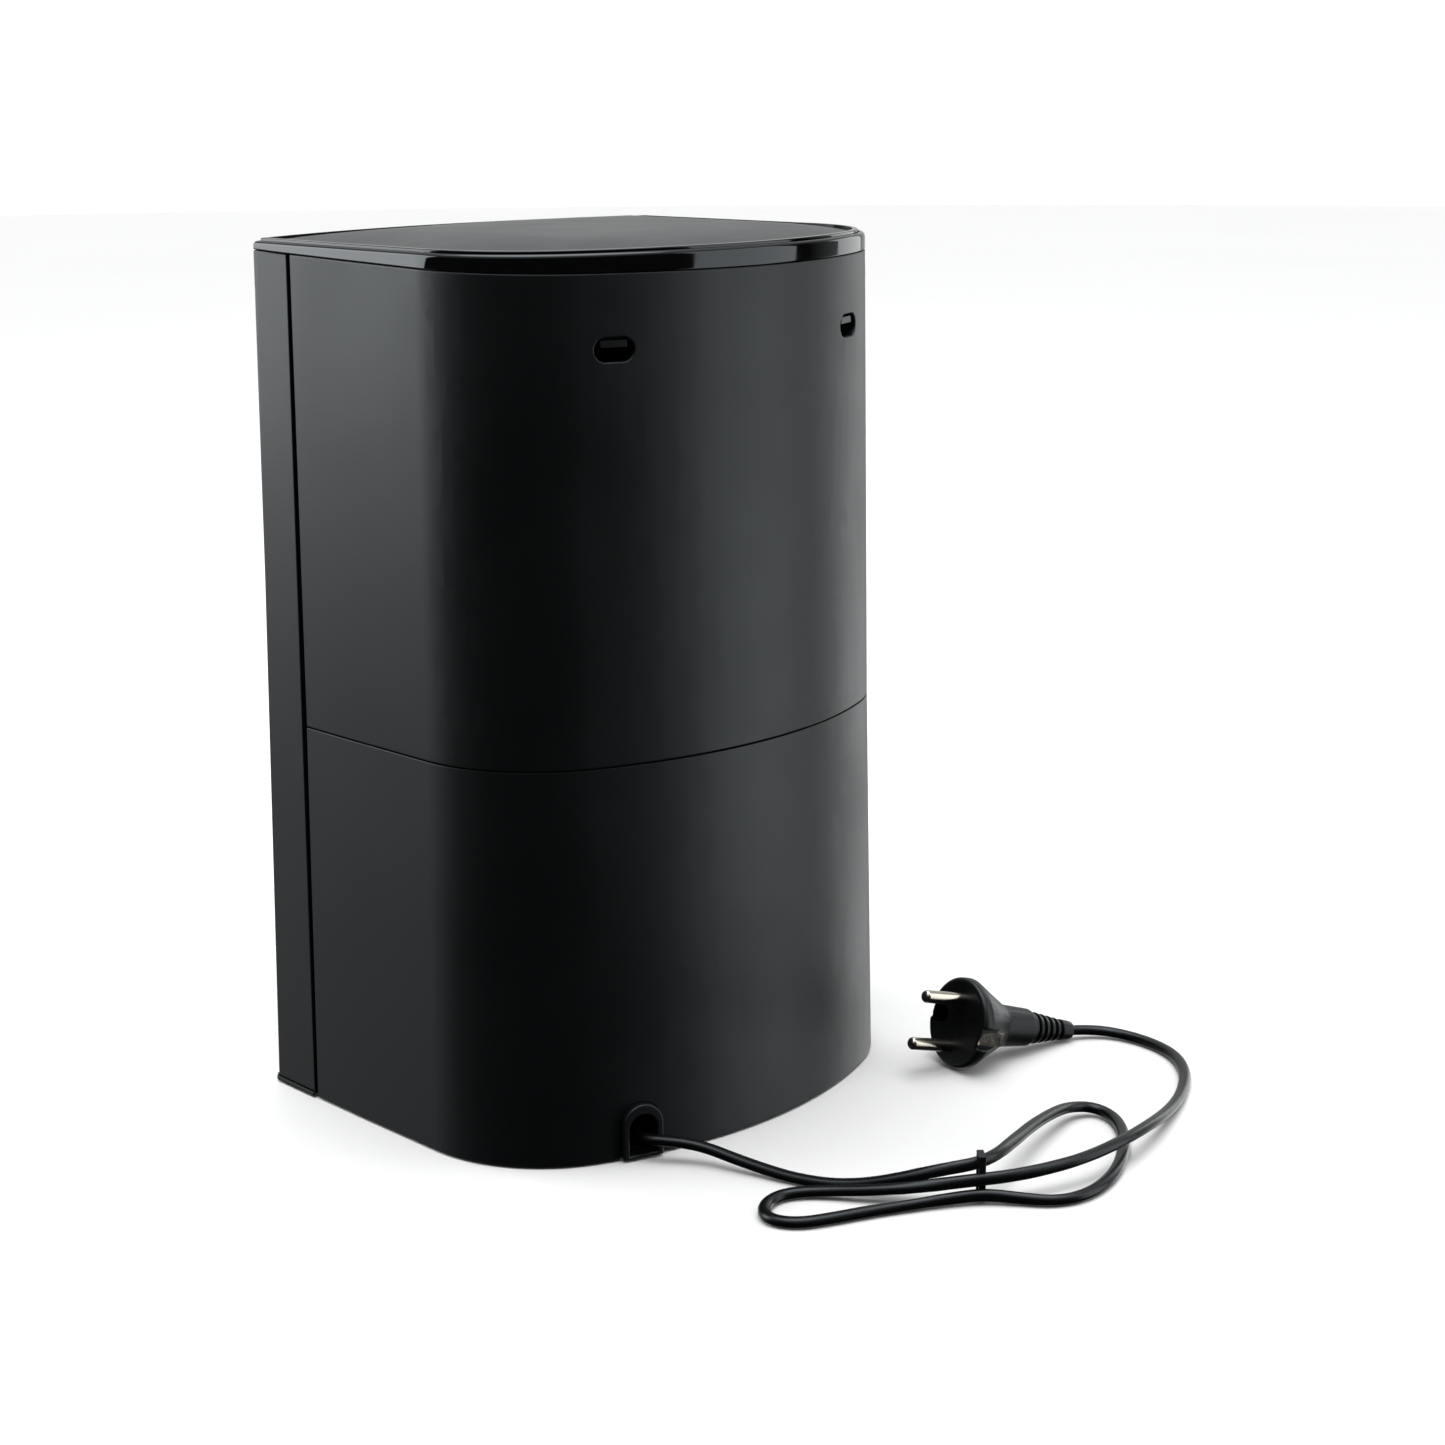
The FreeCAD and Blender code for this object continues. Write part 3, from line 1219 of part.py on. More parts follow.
os.makedirs("parts", exist_ok=True)
for name, shape in nodes.items():
    shape.translate(V(0, -middle_y, 0))
    if not shape.isValid():
        print("not valid:", name)
    shape.exportStep("parts/%s.step" % name)
print(len(nodes), "nodes")
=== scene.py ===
# Electric can opener: looks, lights and camera around the fixed assembly.
import bmesh
import bpy
import json
import math
from mathutils import Matrix, Vector


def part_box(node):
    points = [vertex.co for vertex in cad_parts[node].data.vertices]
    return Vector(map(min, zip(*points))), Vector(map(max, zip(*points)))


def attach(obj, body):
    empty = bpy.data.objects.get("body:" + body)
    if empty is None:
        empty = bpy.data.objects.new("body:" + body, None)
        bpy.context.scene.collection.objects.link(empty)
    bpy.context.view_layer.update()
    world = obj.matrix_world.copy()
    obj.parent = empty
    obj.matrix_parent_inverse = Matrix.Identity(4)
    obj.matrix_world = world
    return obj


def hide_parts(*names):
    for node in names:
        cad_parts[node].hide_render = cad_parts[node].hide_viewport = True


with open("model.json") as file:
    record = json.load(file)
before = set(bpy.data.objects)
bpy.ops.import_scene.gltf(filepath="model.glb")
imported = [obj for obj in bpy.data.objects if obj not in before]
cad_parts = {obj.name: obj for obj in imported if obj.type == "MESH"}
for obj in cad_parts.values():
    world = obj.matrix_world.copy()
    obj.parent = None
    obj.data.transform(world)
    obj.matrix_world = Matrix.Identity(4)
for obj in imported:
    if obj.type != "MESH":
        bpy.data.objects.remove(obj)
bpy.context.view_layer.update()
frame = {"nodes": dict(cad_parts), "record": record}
nodes = frame["nodes"]
mm = 0.001
print("frame loaded:", len(nodes), "nodes")


def linearFromHex(hexText):
    parts = [int(hexText[i:i + 2], 16) / 255 for i in (1, 3, 5)]
    return [c / 12.92 if c <= 0.04045 else ((c + 0.055) / 1.055) ** 2.4 for c in parts] + [1.0]


def addNode(tree, kind, inputs={}, **settings):
    # inputs: socket name or number, then a value or another node's output
    node = tree.nodes.new(kind)
    for name, value in settings.items():
        setattr(node, name, value)
    for socket, value in inputs.items():
        if isinstance(value, bpy.types.NodeSocket):
            tree.links.new(value, node.inputs[socket])
        else:
            node.inputs[socket].default_value = value
    return node


def newFinish(name, colour, roughness, metallic=0.0, ior=1.5):
    finish = bpy.data.materials.new(name)
    finish.use_nodes = True
    tree = finish.node_tree
    shader = tree.nodes["Principled BSDF"]
    shader.inputs["Base Color"].default_value = linearFromHex(colour)
    shader.inputs["Roughness"].default_value = roughness
    shader.inputs["Metallic"].default_value = metallic
    if metallic == 0:
        shader.inputs["IOR"].default_value = ior
        shader.inputs["Specular Tint"].default_value = (0.86, 0.95, 1.0, 1.0)    # the faintly blue sheen
    place = addNode(tree, "ShaderNodeTexCoord").outputs["Object"]
    return finish, tree, shader, place


def roughnessFrom(tree, shader, pattern, low, high):
    spread = addNode(tree, "ShaderNodeMapRange",
                     {"Value": pattern, "From Min": 0.3, "From Max": 0.7, "To Min": low, "To Max": high})
    tree.links.new(spread.outputs["Result"], shader.inputs["Roughness"])


def colourFrom(tree, shader, pattern, dark, light):
    blend = addNode(tree, "ShaderNodeMix", {"Factor": pattern, "A": linearFromHex(dark),
                                            "B": linearFromHex(light)}, data_type="RGBA")
    tree.links.new(blend.outputs["Result"], shader.inputs["Base Color"])


def reliefFrom(tree, shader, pattern, depth, strength=1.0):
    bump = addNode(tree, "ShaderNodeBump", {"Height": pattern, "Distance": depth, "Strength": strength})
    tree.links.new(bump.outputs["Normal"], shader.inputs["Normal"])


def grain(tree, place, size, stretch=(1, 1, 1), detail=3.0):
    # noise whose blobs are about size metres across, drawn out along an axis by stretch
    scaled = addNode(tree, "ShaderNodeMapping", {"Vector": place, "Scale": [1 / (size * s) for s in stretch]})
    cloud = addNode(tree, "ShaderNodeTexNoise", {"Vector": scaled.outputs["Vector"], "Scale": 1.0,
                                                 "Detail": detail})
    return cloud.outputs["Fac"]


def bands(tree, place, pitch, axis):
    waveLength = 0.314    # metres between two bands of the wave texture at scale 1
    lines = addNode(tree, "ShaderNodeTexWave", {"Vector": place, "Scale": waveLength / pitch,
                                                "Distortion": 0.0}, bands_direction=axis)
    return lines.outputs["Fac"]


def nothingSelected():
    if bpy.context.object and bpy.context.object.mode != "OBJECT":
        bpy.ops.object.mode_set(mode="OBJECT")
    bpy.ops.object.select_all(action="DESELECT")


def workOn(piece):
    nothingSelected()
    bpy.context.view_layer.objects.active = piece
    piece.select_set(True)


def applyModifier(piece, kind, **settings):
    workOn(piece)
    modifier = piece.modifiers.new(kind.title(), kind)
    for name, value in settings.items():
        setattr(modifier, name, value)
    bpy.ops.object.modifier_apply(modifier=modifier.name)


def settle(piece, body, finish, angle=35):
    # place goes into the mesh; edges flatter than angle are shaded smooth
    workOn(piece)
    bpy.ops.object.transform_apply(location=True, rotation=True, scale=True)
    bpy.ops.object.shade_smooth_by_angle(angle=math.radians(angle))
    piece.data.materials.clear()
    piece.data.materials.append(finish)
    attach(piece, body)
    return piece


def sparkErodedAbs():
    # ABS from a spark-eroded mould: a fine dull grain that turns reflections into wide soft glows
    finish, tree, shader, place = newFinish("sparkErodedBlackAbs", "#050607", 0.42, ior=1.52)
    fine = grain(tree, place, 0.35 * mm, detail=2.0)   # real grain is nearer 0.1 mm, too fine to show
    wide = grain(tree, place, 45 * mm, detail=2.0)
    roughnessFrom(tree, shader, wide, 0.39, 0.45)
    colourFrom(tree, shader, fine, "#030405", "#070809")
    reliefFrom(tree, shader, fine, 0.012 * mm, 0.5)
    return finish


def pianoBlackAbs():
    # polished black ABS: a deep mirror gloss with hair-fine handling marks
    finish, tree, shader, place = newFinish("pianoBlackAbs", "#050506", 0.06, ior=1.54)
    marks = grain(tree, place, 3 * mm, stretch=(6, 1, 1), detail=6.0)
    wave = grain(tree, place, 9 * mm, detail=1.0)
    roughnessFrom(tree, shader, marks, 0.035, 0.075)
    reliefFrom(tree, shader, wave, 0.02 * mm, 0.15)
    return finish


def satinGreyAbs():
    # satin lid insert: a smooth charcoal face that catches the room as a soft sheen
    finish, tree, shader, place = newFinish("satinCharcoalAbs", "#1f2022", 0.34, ior=1.5)
    cloud = grain(tree, place, 30 * mm, detail=3.0)
    fine = grain(tree, place, 0.4 * mm, detail=1.0)
    roughnessFrom(tree, shader, cloud, 0.31, 0.37)
    colourFrom(tree, shader, cloud, "#1c1d1f", "#232426")
    reliefFrom(tree, shader, fine, 0.004 * mm, 0.4)
    return finish


def softPvc():
    # flexible PVC sheath: a waxy black with long soft highlights and faint drawn lines
    finish, tree, shader, place = newFinish("softBlackPvc", "#050506", 0.3, ior=1.45)
    skin = grain(tree, place, 1.2 * mm, detail=3.0)
    roughnessFrom(tree, shader, skin, 0.26, 0.36)
    reliefFrom(tree, shader, skin, 0.03 * mm, 0.35)
    return finish


def mouldedPvc():
    # plug moulding: the same PVC against a fine matt mould
    finish, tree, shader, place = newFinish("mouldedBlackPvc", "#070708", 0.42, ior=1.45)
    skin = grain(tree, place, 0.5 * mm, detail=2.0)
    wide = grain(tree, place, 12 * mm)
    roughnessFrom(tree, shader, wide, 0.38, 0.46)
    reliefFrom(tree, shader, skin, 0.02 * mm, 0.5)
    return finish


def nickelPlate():
    # nickel over brass: a warm bright metal with fine turning marks
    finish, tree, shader, place = newFinish("brightNickelPlate", "#d6d0c4", 0.16, metallic=1.0)
    marks = grain(tree, place, 0.5 * mm, stretch=(1, 1, 6))
    roughnessFrom(tree, shader, marks, 0.12, 0.24)
    colourFrom(tree, shader, marks, "#cbc5b8", "#dbd6cb")
    return finish


def brushedStainless():
    # stainless sheet brushed along its width: reflections smear across the brush lines
    finish, tree, shader, place = newFinish("brushedStainlessSheet", "#b9babb", 0.3, metallic=1.0)
    lines = grain(tree, place, 0.35 * mm, stretch=(60, 1, 1), detail=4.0)
    roughnessFrom(tree, shader, lines, 0.23, 0.4)
    reliefFrom(tree, shader, lines, 0.006 * mm, 0.5)
    return finish


def zincPlate():
    # zinc-plated mild steel: a cool grey with cloudy spangle
    finish, tree, shader, place = newFinish("zincPlatedSteel", "#aeb3b8", 0.38, metallic=1.0)
    cloud = grain(tree, place, 6 * mm, detail=4.0)
    roughnessFrom(tree, shader, cloud, 0.3, 0.48)
    colourFrom(tree, shader, cloud, "#a3a9ae", "#bcc0c3")
    return finish


def brightScrew():
    # bright zinc fasteners and turned pins: small sharp glints
    finish, tree, shader, place = newFinish("brightPlatedFastener", "#c6c9cc", 0.2, metallic=1.0)
    marks = grain(tree, place, 0.6 * mm, detail=3.0)
    roughnessFrom(tree, shader, marks, 0.15, 0.28)
    return finish


def groundToolSteel():
    # hardened tool steel, ground: fine cross lines and a slightly dark sheen
    finish, tree, shader, place = newFinish("groundToolSteel", "#9b9c9f", 0.26, metallic=1.0)
    lines = grain(tree, place, 0.25 * mm, stretch=(20, 1, 1), detail=3.0)
    roughnessFrom(tree, shader, lines, 0.2, 0.36)
    reliefFrom(tree, shader, lines, 0.005 * mm, 0.4)
    return finish


def sinteredBronze():
    # oil-soaked sintered bronze: brown-gold with open pores
    finish, tree, shader, place = newFinish("sinteredBronze", "#a37c4b", 0.45, metallic=1.0)
    pores = grain(tree, place, 0.25 * mm, detail=4.0)
    colourFrom(tree, shader, pores, "#7e5d36", "#b48a57")
    reliefFrom(tree, shader, pores, 0.02 * mm, 0.6)
    return finish


def naturalAcetal():
    # natural acetal gears: waxy off-white
    finish, tree, shader, place = newFinish("naturalAcetal", "#e3e0d5", 0.38, ior=1.48)
    cloud = grain(tree, place, 4 * mm)
    roughnessFrom(tree, shader, cloud, 0.33, 0.44)
    colourFrom(tree, shader, cloud, "#ded9cb", "#e8e5dc")
    return finish


def laminatedSteel():
    # varnished motor laminations: thin dark sheets stacked along the shaft
    finish, tree, shader, place = newFinish("varnishedLaminations", "#3a3633", 0.42, metallic=0.7)
    sheets = bands(tree, place, 0.5 * mm, "Y")
    colourFrom(tree, shader, sheets, "#272422", "#4a4541")
    reliefFrom(tree, shader, sheets, 0.05 * mm, 0.6)
    return finish


def enamelledCopper():
    # enamelled winding wire: rows of amber-brown wire under varnish
    finish, tree, shader, place = newFinish("enamelledCopperWire", "#8a4522", 0.3, metallic=0.85)
    wires = bands(tree, place, 0.5 * mm, "Z")
    colourFrom(tree, shader, wires, "#5e2c15", "#a35a2e")
    reliefFrom(tree, shader, wires, 0.12 * mm, 0.8)
    return finish


def darkNylon():
    # glass-filled nylon: grey-black with a faint fibre mottle
    finish, tree, shader, place = newFinish("glassFilledNylon", "#19191b", 0.5, ior=1.53)
    mottle = grain(tree, place, 1.5 * mm, detail=4.0)
    colourFrom(tree, shader, mottle, "#141416", "#1f1f21")
    roughnessFrom(tree, shader, mottle, 0.44, 0.56)
    reliefFrom(tree, shader, mottle, 0.02 * mm, 0.5)
    return finish


def whiteNylon():
    # milky nylon for the plunger and terminals
    finish, tree, shader, place = newFinish("milkyNylon", "#d2d0c8", 0.42, ior=1.53)
    cloud = grain(tree, place, 3 * mm)
    colourFrom(tree, shader, cloud, "#cbc8be", "#dad8d1")
    return finish


def springSteel():
    # drawn music wire: bright with fine lengthwise lines
    finish, tree, shader, place = newFinish("drawnSpringWire", "#b7b9bc", 0.22, metallic=1.0)
    marks = grain(tree, place, 0.3 * mm)
    roughnessFrom(tree, shader, marks, 0.18, 0.3)
    return finish


def mouldedRubber():
    # nitrile rubber foot: dull charcoal that hardly reflects
    finish, tree, shader, place = newFinish("mouldedRubber", "#1c1c1c", 0.82, ior=1.51)
    skin = grain(tree, place, 0.6 * mm)
    colourFrom(tree, shader, skin, "#181818", "#232323")
    reliefFrom(tree, shader, skin, 0.04 * mm, 0.5)
    return finish


finishes = {
    "black_abs": sparkErodedAbs(),
    "gloss_black": pianoBlackAbs(),
    "grey_panel": satinGreyAbs(),
    "rubber": mouldedRubber(),
    "zinc_steel": zincPlate(),
    "plated_screw": brightScrew(),
    "stainless": brushedStainless(),
    "hard_steel": groundToolSteel(),
    "bronze": sinteredBronze(),
    "acetal": naturalAcetal(),
    "lamination": laminatedSteel(),
    "copper_winding": enamelledCopper(),
    "fan_plastic": darkNylon(),
    "plunger_plastic": whiteNylon(),
    "spring_steel": springSteel(),
    "magnet_nickel": nickelPlate(),
    "black_pvc": mouldedPvc(),
    "nickel": nickelPlate(),
}
cordSheath = softPvc()
for part in frame["record"]["subparts"]:
    nodes[part["node"]].data.materials.clear()
    nodes[part["node"]].data.materials.append(finishes[part["material_slot"]])
slotOf = {part["node"]: part["material_slot"] for part in frame["record"]["subparts"]}
bodyOf = {node: body for body, names in frame["record"]["behaviour"]["bodies"].items() for node in names}
print("finishes:", len(finishes) + 1)


cameraView = {"place": (0.63371, 0.72687, 0.36740), "forward": (-0.68598, -0.68641, -0.24142),
              "roll": -0.4, "lens": 65.31, "sensor": 36.0}


def makeCamera():
    data = bpy.data.cameras.new("camera")
    data.lens = cameraView["lens"]
    data.sensor_width = cameraView["sensor"]
    data.clip_start = 0.01
    camera = bpy.data.objects.new("camera", data)
    bpy.context.scene.collection.objects.link(camera)
    turn = Vector(cameraView["forward"]).to_track_quat("-Z", "Y").to_matrix()
    roll = Matrix.Rotation(math.radians(cameraView["roll"]), 3, "Z")
    camera.rotation_euler = (turn @ roll).to_euler()
    camera.location = cameraView["place"]
    bpy.context.scene.camera = camera


studio = {
    "floorSize": 14.0, "wallRadius": 6.5, "wallHeight": 4.0, "wallGlow": 1.05,
    "sideBoxes": [  # compass angle, distance, width, height, centre height, radiance
        (-57, 1.5, 1.27, 1.1, 0.62, 3.9),
        (-57, 1.5, 1.27, 0.9, -0.38, 0.33),  # the same box's dim lower part
        (130, 1.5, 0.97, 1.9, 0.26, 1.65),
        (179, 1.6, 0.56, 1.7, 0.02, 1.7),
    ],
    "boxAim": (0, 0, 0.15),                  # the point that the side boxes face
    "overhead": (0.0, -0.3, 2.2, 2.0, 1.0),  # x, y, z, size, radiance
    "sunStrength": 1.6, "sunAngle": 60,
    "roomGlow": (0.6, 0.01),                 # room brightness opposite the camera, and all round it
    "cameraSide": (0.72, 0.69, 0.0), "glowEdges": (-0.85, -0.4),
    "ceilingEdges": (0.35, 0.9), "ceilingGlow": 0.9,
    "floorMottle": 0.8,                      # metres
}


def makeFloor():
    nothingSelected()
    bpy.ops.mesh.primitive_plane_add(size=studio["floorSize"])
    floor = bpy.context.object
    floor.name = "studioFloor"
    paint, tree, shader, place = newFinish("palePaintedFloor", "#f6f6f6", 0.7)
    colourFrom(tree, shader, grain(tree, place, studio["floorMottle"]), "#f4f4f4", "#f8f8f8")
    floor.data.materials.append(paint)
    floor.visible_glossy = False    # the dark walls of the opener mirror the studio, not the floor
    floor.visible_shadow = False    # the soft boxes reach below the floor, which must not block them
    nothingSelected()
    bpy.ops.mesh.primitive_cylinder_add(vertices=96, radius=studio["wallRadius"], depth=studio["wallHeight"],
                                        location=(0, 0, studio["wallHeight"] / 2 - 0.1),
                                        end_fill_type="NOTHING")
    wall = bpy.context.object
    wall.name = "studioWall"
    bpy.ops.object.mode_set(mode="EDIT")
    bpy.ops.mesh.flip_normals()
    bpy.ops.object.mode_set(mode="OBJECT")
    glow = bpy.data.materials.new("paleBackdrop")
    glow.use_nodes = True
    tree = glow.node_tree
    tree.nodes.clear()
    shine = addNode(tree, "ShaderNodeEmission", {"Color": (1, 1, 1, 1), "Strength": studio["wallGlow"]})
    addNode(tree, "ShaderNodeOutputMaterial", {"Surface": shine.outputs[0]})
    wall.data.materials.append(glow)
    for way in ("glossy", "diffuse", "shadow", "transmission", "volume_scatter"):
        setattr(wall, "visible_" + way, False)


def makeLights():
    for i, (angle, distance, width, height, centre, radiance) in enumerate(studio["sideBoxes"]):
        data = bpy.data.lights.new("softBox%d" % (i + 1), "AREA")
        data.shape = "RECTANGLE"
        data.size = width
        data.size_y = height
        data.energy = radiance * math.pi * width * height
        box = bpy.data.objects.new(data.name, data)
        bpy.context.scene.collection.objects.link(box)
        turn = math.radians(angle)
        box.location = (distance * math.cos(turn), distance * math.sin(turn), centre)
        box.rotation_euler = (Vector(studio["boxAim"]) - box.location).to_track_quat("-Z", "Y").to_euler()
    x, y, z, size, radiance = studio["overhead"]
    data = bpy.data.lights.new("overheadBox", "AREA")
    data.size = size
    data.energy = radiance * math.pi * size * size
    box = bpy.data.objects.new(data.name, data)
    bpy.context.scene.collection.objects.link(box)
    box.location = (x, y, z)
    data = bpy.data.lights.new("evenFill", "SUN")
    data.energy = studio["sunStrength"]
    data.angle = math.radians(studio["sunAngle"])
    bpy.context.scene.collection.objects.link(bpy.data.objects.new(data.name, data))
    world = bpy.data.worlds.new("studioRoom")
    bpy.context.scene.world = world
    world.use_nodes = True
    tree = world.node_tree
    tree.nodes.clear()
    way = addNode(tree, "ShaderNodeTexCoord").outputs["Generated"]
    # pale opposite the camera's side and overhead, dim all round otherwise
    toward = addNode(tree, "ShaderNodeVectorMath", {0: way, 1: studio["cameraSide"]}, operation="DOT_PRODUCT")
    paleTo, dimFrom = studio["glowEdges"]
    paleGlow, dimGlow = studio["roomGlow"]
    pale = addNode(tree, "ShaderNodeMapRange", {"Value": toward.outputs["Value"], "From Min": paleTo,
                                                "From Max": dimFrom, "To Min": paleGlow, "To Max": dimGlow})
    split = addNode(tree, "ShaderNodeSeparateXYZ", {0: way})
    ceilingLow, ceilingHigh = studio["ceilingEdges"]
    high = addNode(tree, "ShaderNodeMapRange", {"Value": split.outputs["Z"], "From Min": ceilingLow,
                                                "From Max": ceilingHigh, "To Min": 0.0,
                                                "To Max": studio["ceilingGlow"]})
    both = addNode(tree, "ShaderNodeMath", {0: pale.outputs["Result"], 1: high.outputs["Result"]},
                   operation="MAXIMUM")
    sky = addNode(tree, "ShaderNodeBackground", {"Color": (1, 1, 1, 1), "Strength": both.outputs[0]})
    addNode(tree, "ShaderNodeOutputWorld", {"Surface": sky.outputs[0]})


makeCamera()
makeFloor()
makeLights()
bpy.context.scene.view_settings.view_transform = "Standard"
print("camera, floor and lights in place")


softEdges = {  # node: edge radius in mm, steps, only the outside edges, piece's name
    "upper_rear_shell": (0.6, 3, True, "upperShellSkin"),
    "lower_rear_shell": (0.35, 2, True, "lowerShellSkin"),
    "front_panel": (0.5, 2, True, "frontPanelSkin"),
    "top_rim": (0.3, 2, True, "polishedRim"),
    "cord_bush": (0.7, 3, True, "leadGrommet"),
    "base_plate": (0.3, 2, True, "basePlateEdge"),
    "head_plate": (0.35, 2, False, "pressedHeadPlate"),
    "can_guide": (0.4, 2, False, "canRestBar"),
    "cutter_lever": (0.6, 3, False, "leverArmCasting"),
    "lever_grip": (1.4, 4, False, "leverGripMoulding"),
    "magnet_arm": (0.4, 2, False, "magnetArmPressing"),
    "switch_housing": (0.5, 2, True, "switchCover"),
    "plug_body": (0.8, 3, True, "plugMoulding"),
    "plug_strain_relief": (0.3, 2, False, "ribbedRelief"),
    "cord_tie": (0.25, 2, False, "tieStrap"),
    "latch_left": (0.3, 2, False, "leftLatchTab"),
    "latch_right": (0.3, 2, False, "rightLatchTab"),
}


edgeRules = {
    "sharpFrom": 40,                # degrees between two faces
    "sideways": 0.35,               # how far a face must look outwards
    "probeGap": 0.2 * mm, "straightFront": -0.98,
    "padMargin": 6 * mm, "padDepth": 40 * mm,
}
padLow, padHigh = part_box("head_plate")
padZone = (padLow[2] - edgeRules["padMargin"], padHigh[2] + edgeRules["padMargin"],
           padHigh[1] + edgeRules["padDepth"])    # lowest and highest z, and the y it ends at


def copyOfNode(nodeName, pieceName):
    piece = bpy.data.objects.new(pieceName, nodes[nodeName].data.copy())
    bpy.context.scene.collection.objects.link(piece)
    workOn(piece)
    if piece.data.has_custom_normals:
        bpy.ops.mesh.customdata_custom_splitnormals_clear()
    bpy.ops.object.mode_set(mode="EDIT")
    bpy.ops.mesh.select_all(action="SELECT")
    bpy.ops.mesh.remove_doubles(threshold=0.01 * mm)
    bpy.ops.mesh.dissolve_limited(angle_limit=math.radians(0.5))
    bpy.ops.mesh.select_all(action="DESELECT")
    bpy.ops.object.mode_set(mode="OBJECT")
    return piece


def sharpEdges(piece, outside):
    # convex edges; with outside, only those that nothing of the piece hides from the side
    mesh = bmesh.new()
    mesh.from_mesh(piece.data)
    low, high = boxOf(piece)
    middle = (low + high) / 2
    flags = []
    for edge in mesh.edges:
        sharp = math.radians(edgeRules["sharpFrom"])
        wanted = len(edge.link_faces) == 2 and edge.calc_face_angle_signed(0) > sharp
        if wanted and outside:
            spot = (edge.verts[0].co + edge.verts[1].co) / 2
            way = Vector((spot.x - middle.x, spot.y - middle.y, 0)).normalized()
            faces = [face for face in edge.link_faces if face.normal.dot(way) > edgeRules["sideways"]]
            wanted = bool(faces) and not piece.ray_cast(spot + way * edgeRules["probeGap"], way)[0]
            # the ends of the raised pad run out into the curved wall, where a rounding would fold over
            onPad = padZone[0] < spot.z < padZone[1] and spot.y < padZone[2]
            frontmost = min(face.normal.y for face in edge.link_faces)
            wanted = wanted and not (onPad and frontmost > edgeRules["straightFront"])
        flags.append(wanted)
    mesh.free()
    return flags


def boxOf(piece):
    corners = [v.co for v in piece.data.vertices]
    return (Vector([min(c[i] for c in corners) for i in range(3)]),
            Vector([max(c[i] for c in corners) for i in range(3)]))


def softened(nodeName):
    width, steps, outside, pieceName = softEdges[nodeName]
    piece = copyOfNode(nodeName, pieceName)
    bpy.context.view_layer.update()
    flags = sharpEdges(piece, outside)
    bpy.context.tool_settings.mesh_select_mode = (False, True, False)
    piece.data.edges.foreach_set("select", flags)
    bpy.ops.object.mode_set(mode="EDIT")
    bpy.ops.mesh.bevel(offset=width * mm, segments=steps, clamp_overlap=not outside)
    bpy.ops.object.mode_set(mode="OBJECT")
    bpy.context.tool_settings.mesh_select_mode = (True, False, False)
    settle(piece, bodyOf[nodeName], finishes[slotOf[nodeName]])
    applyModifier(piece, "WEIGHTED_NORMAL", keep_sharp=True)
    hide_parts(nodeName)
    return piece


softPieces = {name: softened(name) for name in softEdges}
print("softened pieces:", len(softPieces))


def makeLid():
    lid = copyOfNode("top_panel", "crownedLidPanel")
    settle(lid, "housing", finishes["grey_panel"], 30)
    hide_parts("top_panel")
    return lid


makeLid()
print("lid panel smoothed")


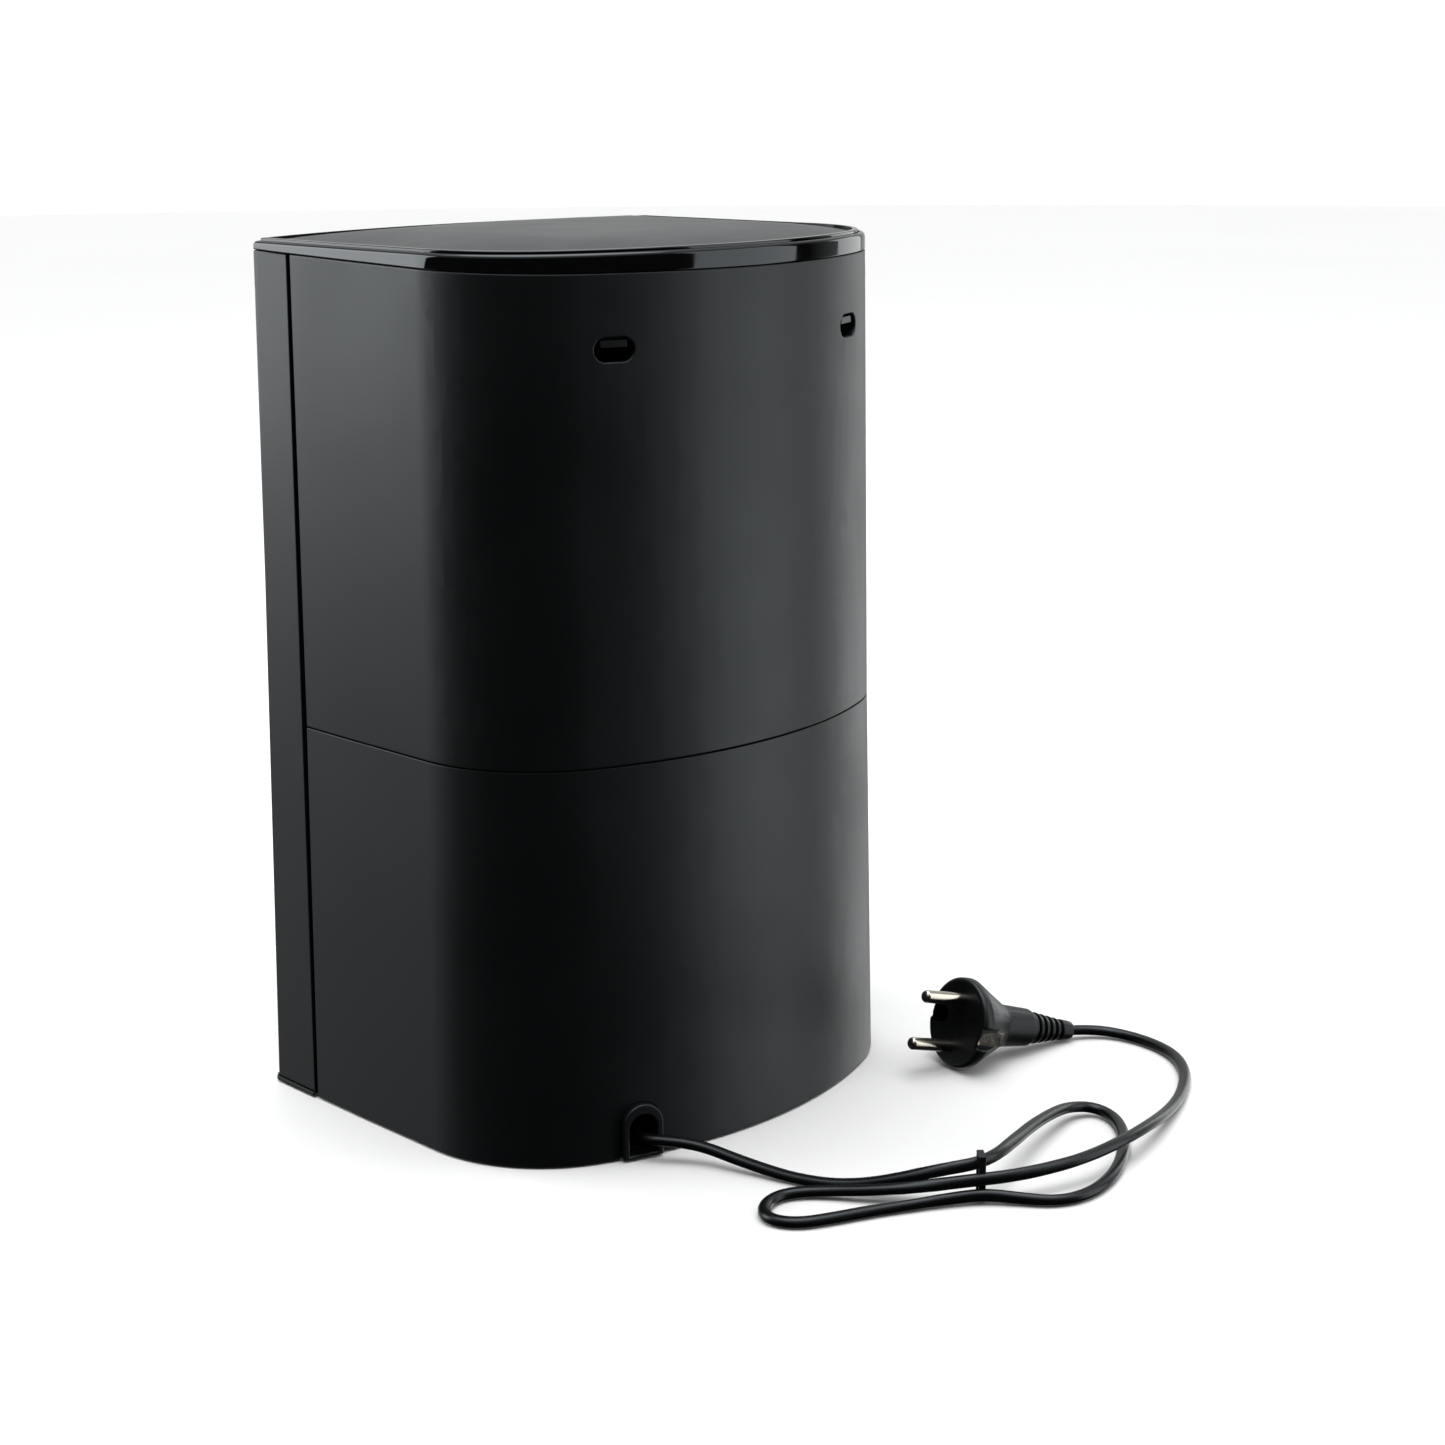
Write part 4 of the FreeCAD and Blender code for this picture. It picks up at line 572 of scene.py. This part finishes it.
cordSettings = {
    "width": 4.4 * mm, "thickness": 3.7 * mm, "sectionSteps": 7,
    "tiePlace": (-2.5, 211.1),
    "turns": [(9, 90), (16, 70), (28, 30)],    # within so many millimetres of the tie, degrees of turn
    "route": [  # millimetres, from the gland to the plug
        (51.2, 97.7, 8.0), (54.8, 107.6, 8.0), (50.2, 114.7, 8.0), (45.2, 120.7, 7.2), (41.6, 127.1, 6.0),
        (39.0, 136.1, 4.4), (36.1, 146.5, 3.0), (33.4, 157.4, 2.2), (29.4, 169.1, 2.3), (24.6, 178.7, 3.4),
        (19.4, 188.7, 6.2), (13.6, 197.7, 9.4), (7.4, 205.3, 11.8), (-0.4, 210.5, 12.7),
        (-11.0, 210.7, 12.5), (-27.8, 204.9, 11.0), (-47.0, 198.2, 9.2), (-64.6, 193.3, 7.0),
        (-77.6, 190.7, 4.6), (-86.4, 194.5, 3.0), (-86.0, 204.1, 2.2), (-76.0, 216.1, 2.1),
        (-57.6, 228.9, 2.1), (-39.6, 236.5, 2.1), (-24.6, 238.1, 2.1), (-13.8, 233.7, 2.1),
        (-7.0, 224.5, 2.4), (0.2, 215.3, 3.3), (9.8, 208.3, 2.7), (21.0, 201.7, 2.1), (34.2, 195.0, 2.1),
        (47.2, 189.7, 2.1), (58.2, 184.3, 2.1), (62.8, 175.7, 2.1), (58.0, 167.7, 2.1), (48.6, 164.3, 2.1),
        (40.0, 167.7, 2.3), (32.4, 176.3, 2.9), (26.4, 186.5, 4.2), (17.2, 199.5, 6.4), (3.0, 211.5, 8.0),
        (-8.6, 218.7, 8.1), (-21.8, 224.3, 8.4), (-36.4, 228.7, 9.0), (-55.0, 229.7, 9.4),
        (-79.0, 225.0, 7.4), (-102.9, 216.7, 3.6), (-121.6, 208.5, 2.1), (-138.4, 198.3, 2.1),
        (-150.4, 185.5, 2.1), (-155.2, 172.7, 2.1), (-155.6, 158.5, 2.2), (-150.2, 146.7, 3.0),
        (-140.6, 141.6, 3.8),
    ],
}


def sheathTurn(x, y):
    # the flat lead stands on edge where the tie bundles it
    away = math.dist((x, y), cordSettings["tiePlace"])
    return next((turn for reach, turn in cordSettings["turns"] if away < reach), 0)


def makeCord():
    data = bpy.data.curves.new("mainsLeadLine", "CURVE")
    data.dimensions = "3D"
    data.resolution_u = 10
    data.twist_mode = "Z_UP"
    line = data.splines.new("NURBS")
    line.points.add(len(cordSettings["route"]) - 1)
    for point, (x, y, z) in zip(line.points, cordSettings["route"]):
        point.co = (x * mm, y * mm, z * mm, 1)
        point.tilt = math.radians(sheathTurn(x, y))
    line.order_u = 3
    line.use_endpoint_u = True
    bare = bpy.data.objects.new("mainsLeadLine", data)
    path = [v.co.copy() for v in bpy.data.meshes.new_from_object(bare).vertices]
    # oval section of a flat two-core lead
    section = bpy.data.curves.new("leadSection", "CURVE")
    section.dimensions = "2D"
    ring = section.splines.new("POLY")
    steps = cordSettings["sectionSteps"]
    radius = cordSettings["thickness"] / 2
    flat = cordSettings["width"] / 2 - radius
    corners = []
    for side in (1, -1):
        for i in range(steps + 1):
            angle = math.pi * (i / steps - 0.5)
            corners.append((side * (flat + radius * math.cos(angle)), side * radius * math.sin(angle)))
    ring.points.add(len(corners) - 1)
    for point, (x, y) in zip(ring.points, corners):
        point.co = (x, y, 0, 1)
    ring.use_cyclic_u = True
    shape = bpy.data.objects.new("leadSection", section)
    bpy.context.scene.collection.objects.link(shape)
    data.bevel_mode = "OBJECT"
    data.bevel_object = shape
    data.use_fill_caps = True
    bpy.context.scene.collection.objects.link(bare)
    workOn(bare)
    bpy.ops.object.convert(target="MESH")
    lead = bpy.context.object
    lead.name = "mainsLead"
    bpy.data.objects.remove(shape)
    length = sum((b - a).length for a, b in zip(path, path[1:]))
    print("cord length", round(length, 4))
    settle(lead, "housing", cordSheath, 60)
    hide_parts("mains_cord")
    return lead, path, length


mainsLead, leadPath, leadLength = makeCord()
print("cord laid")
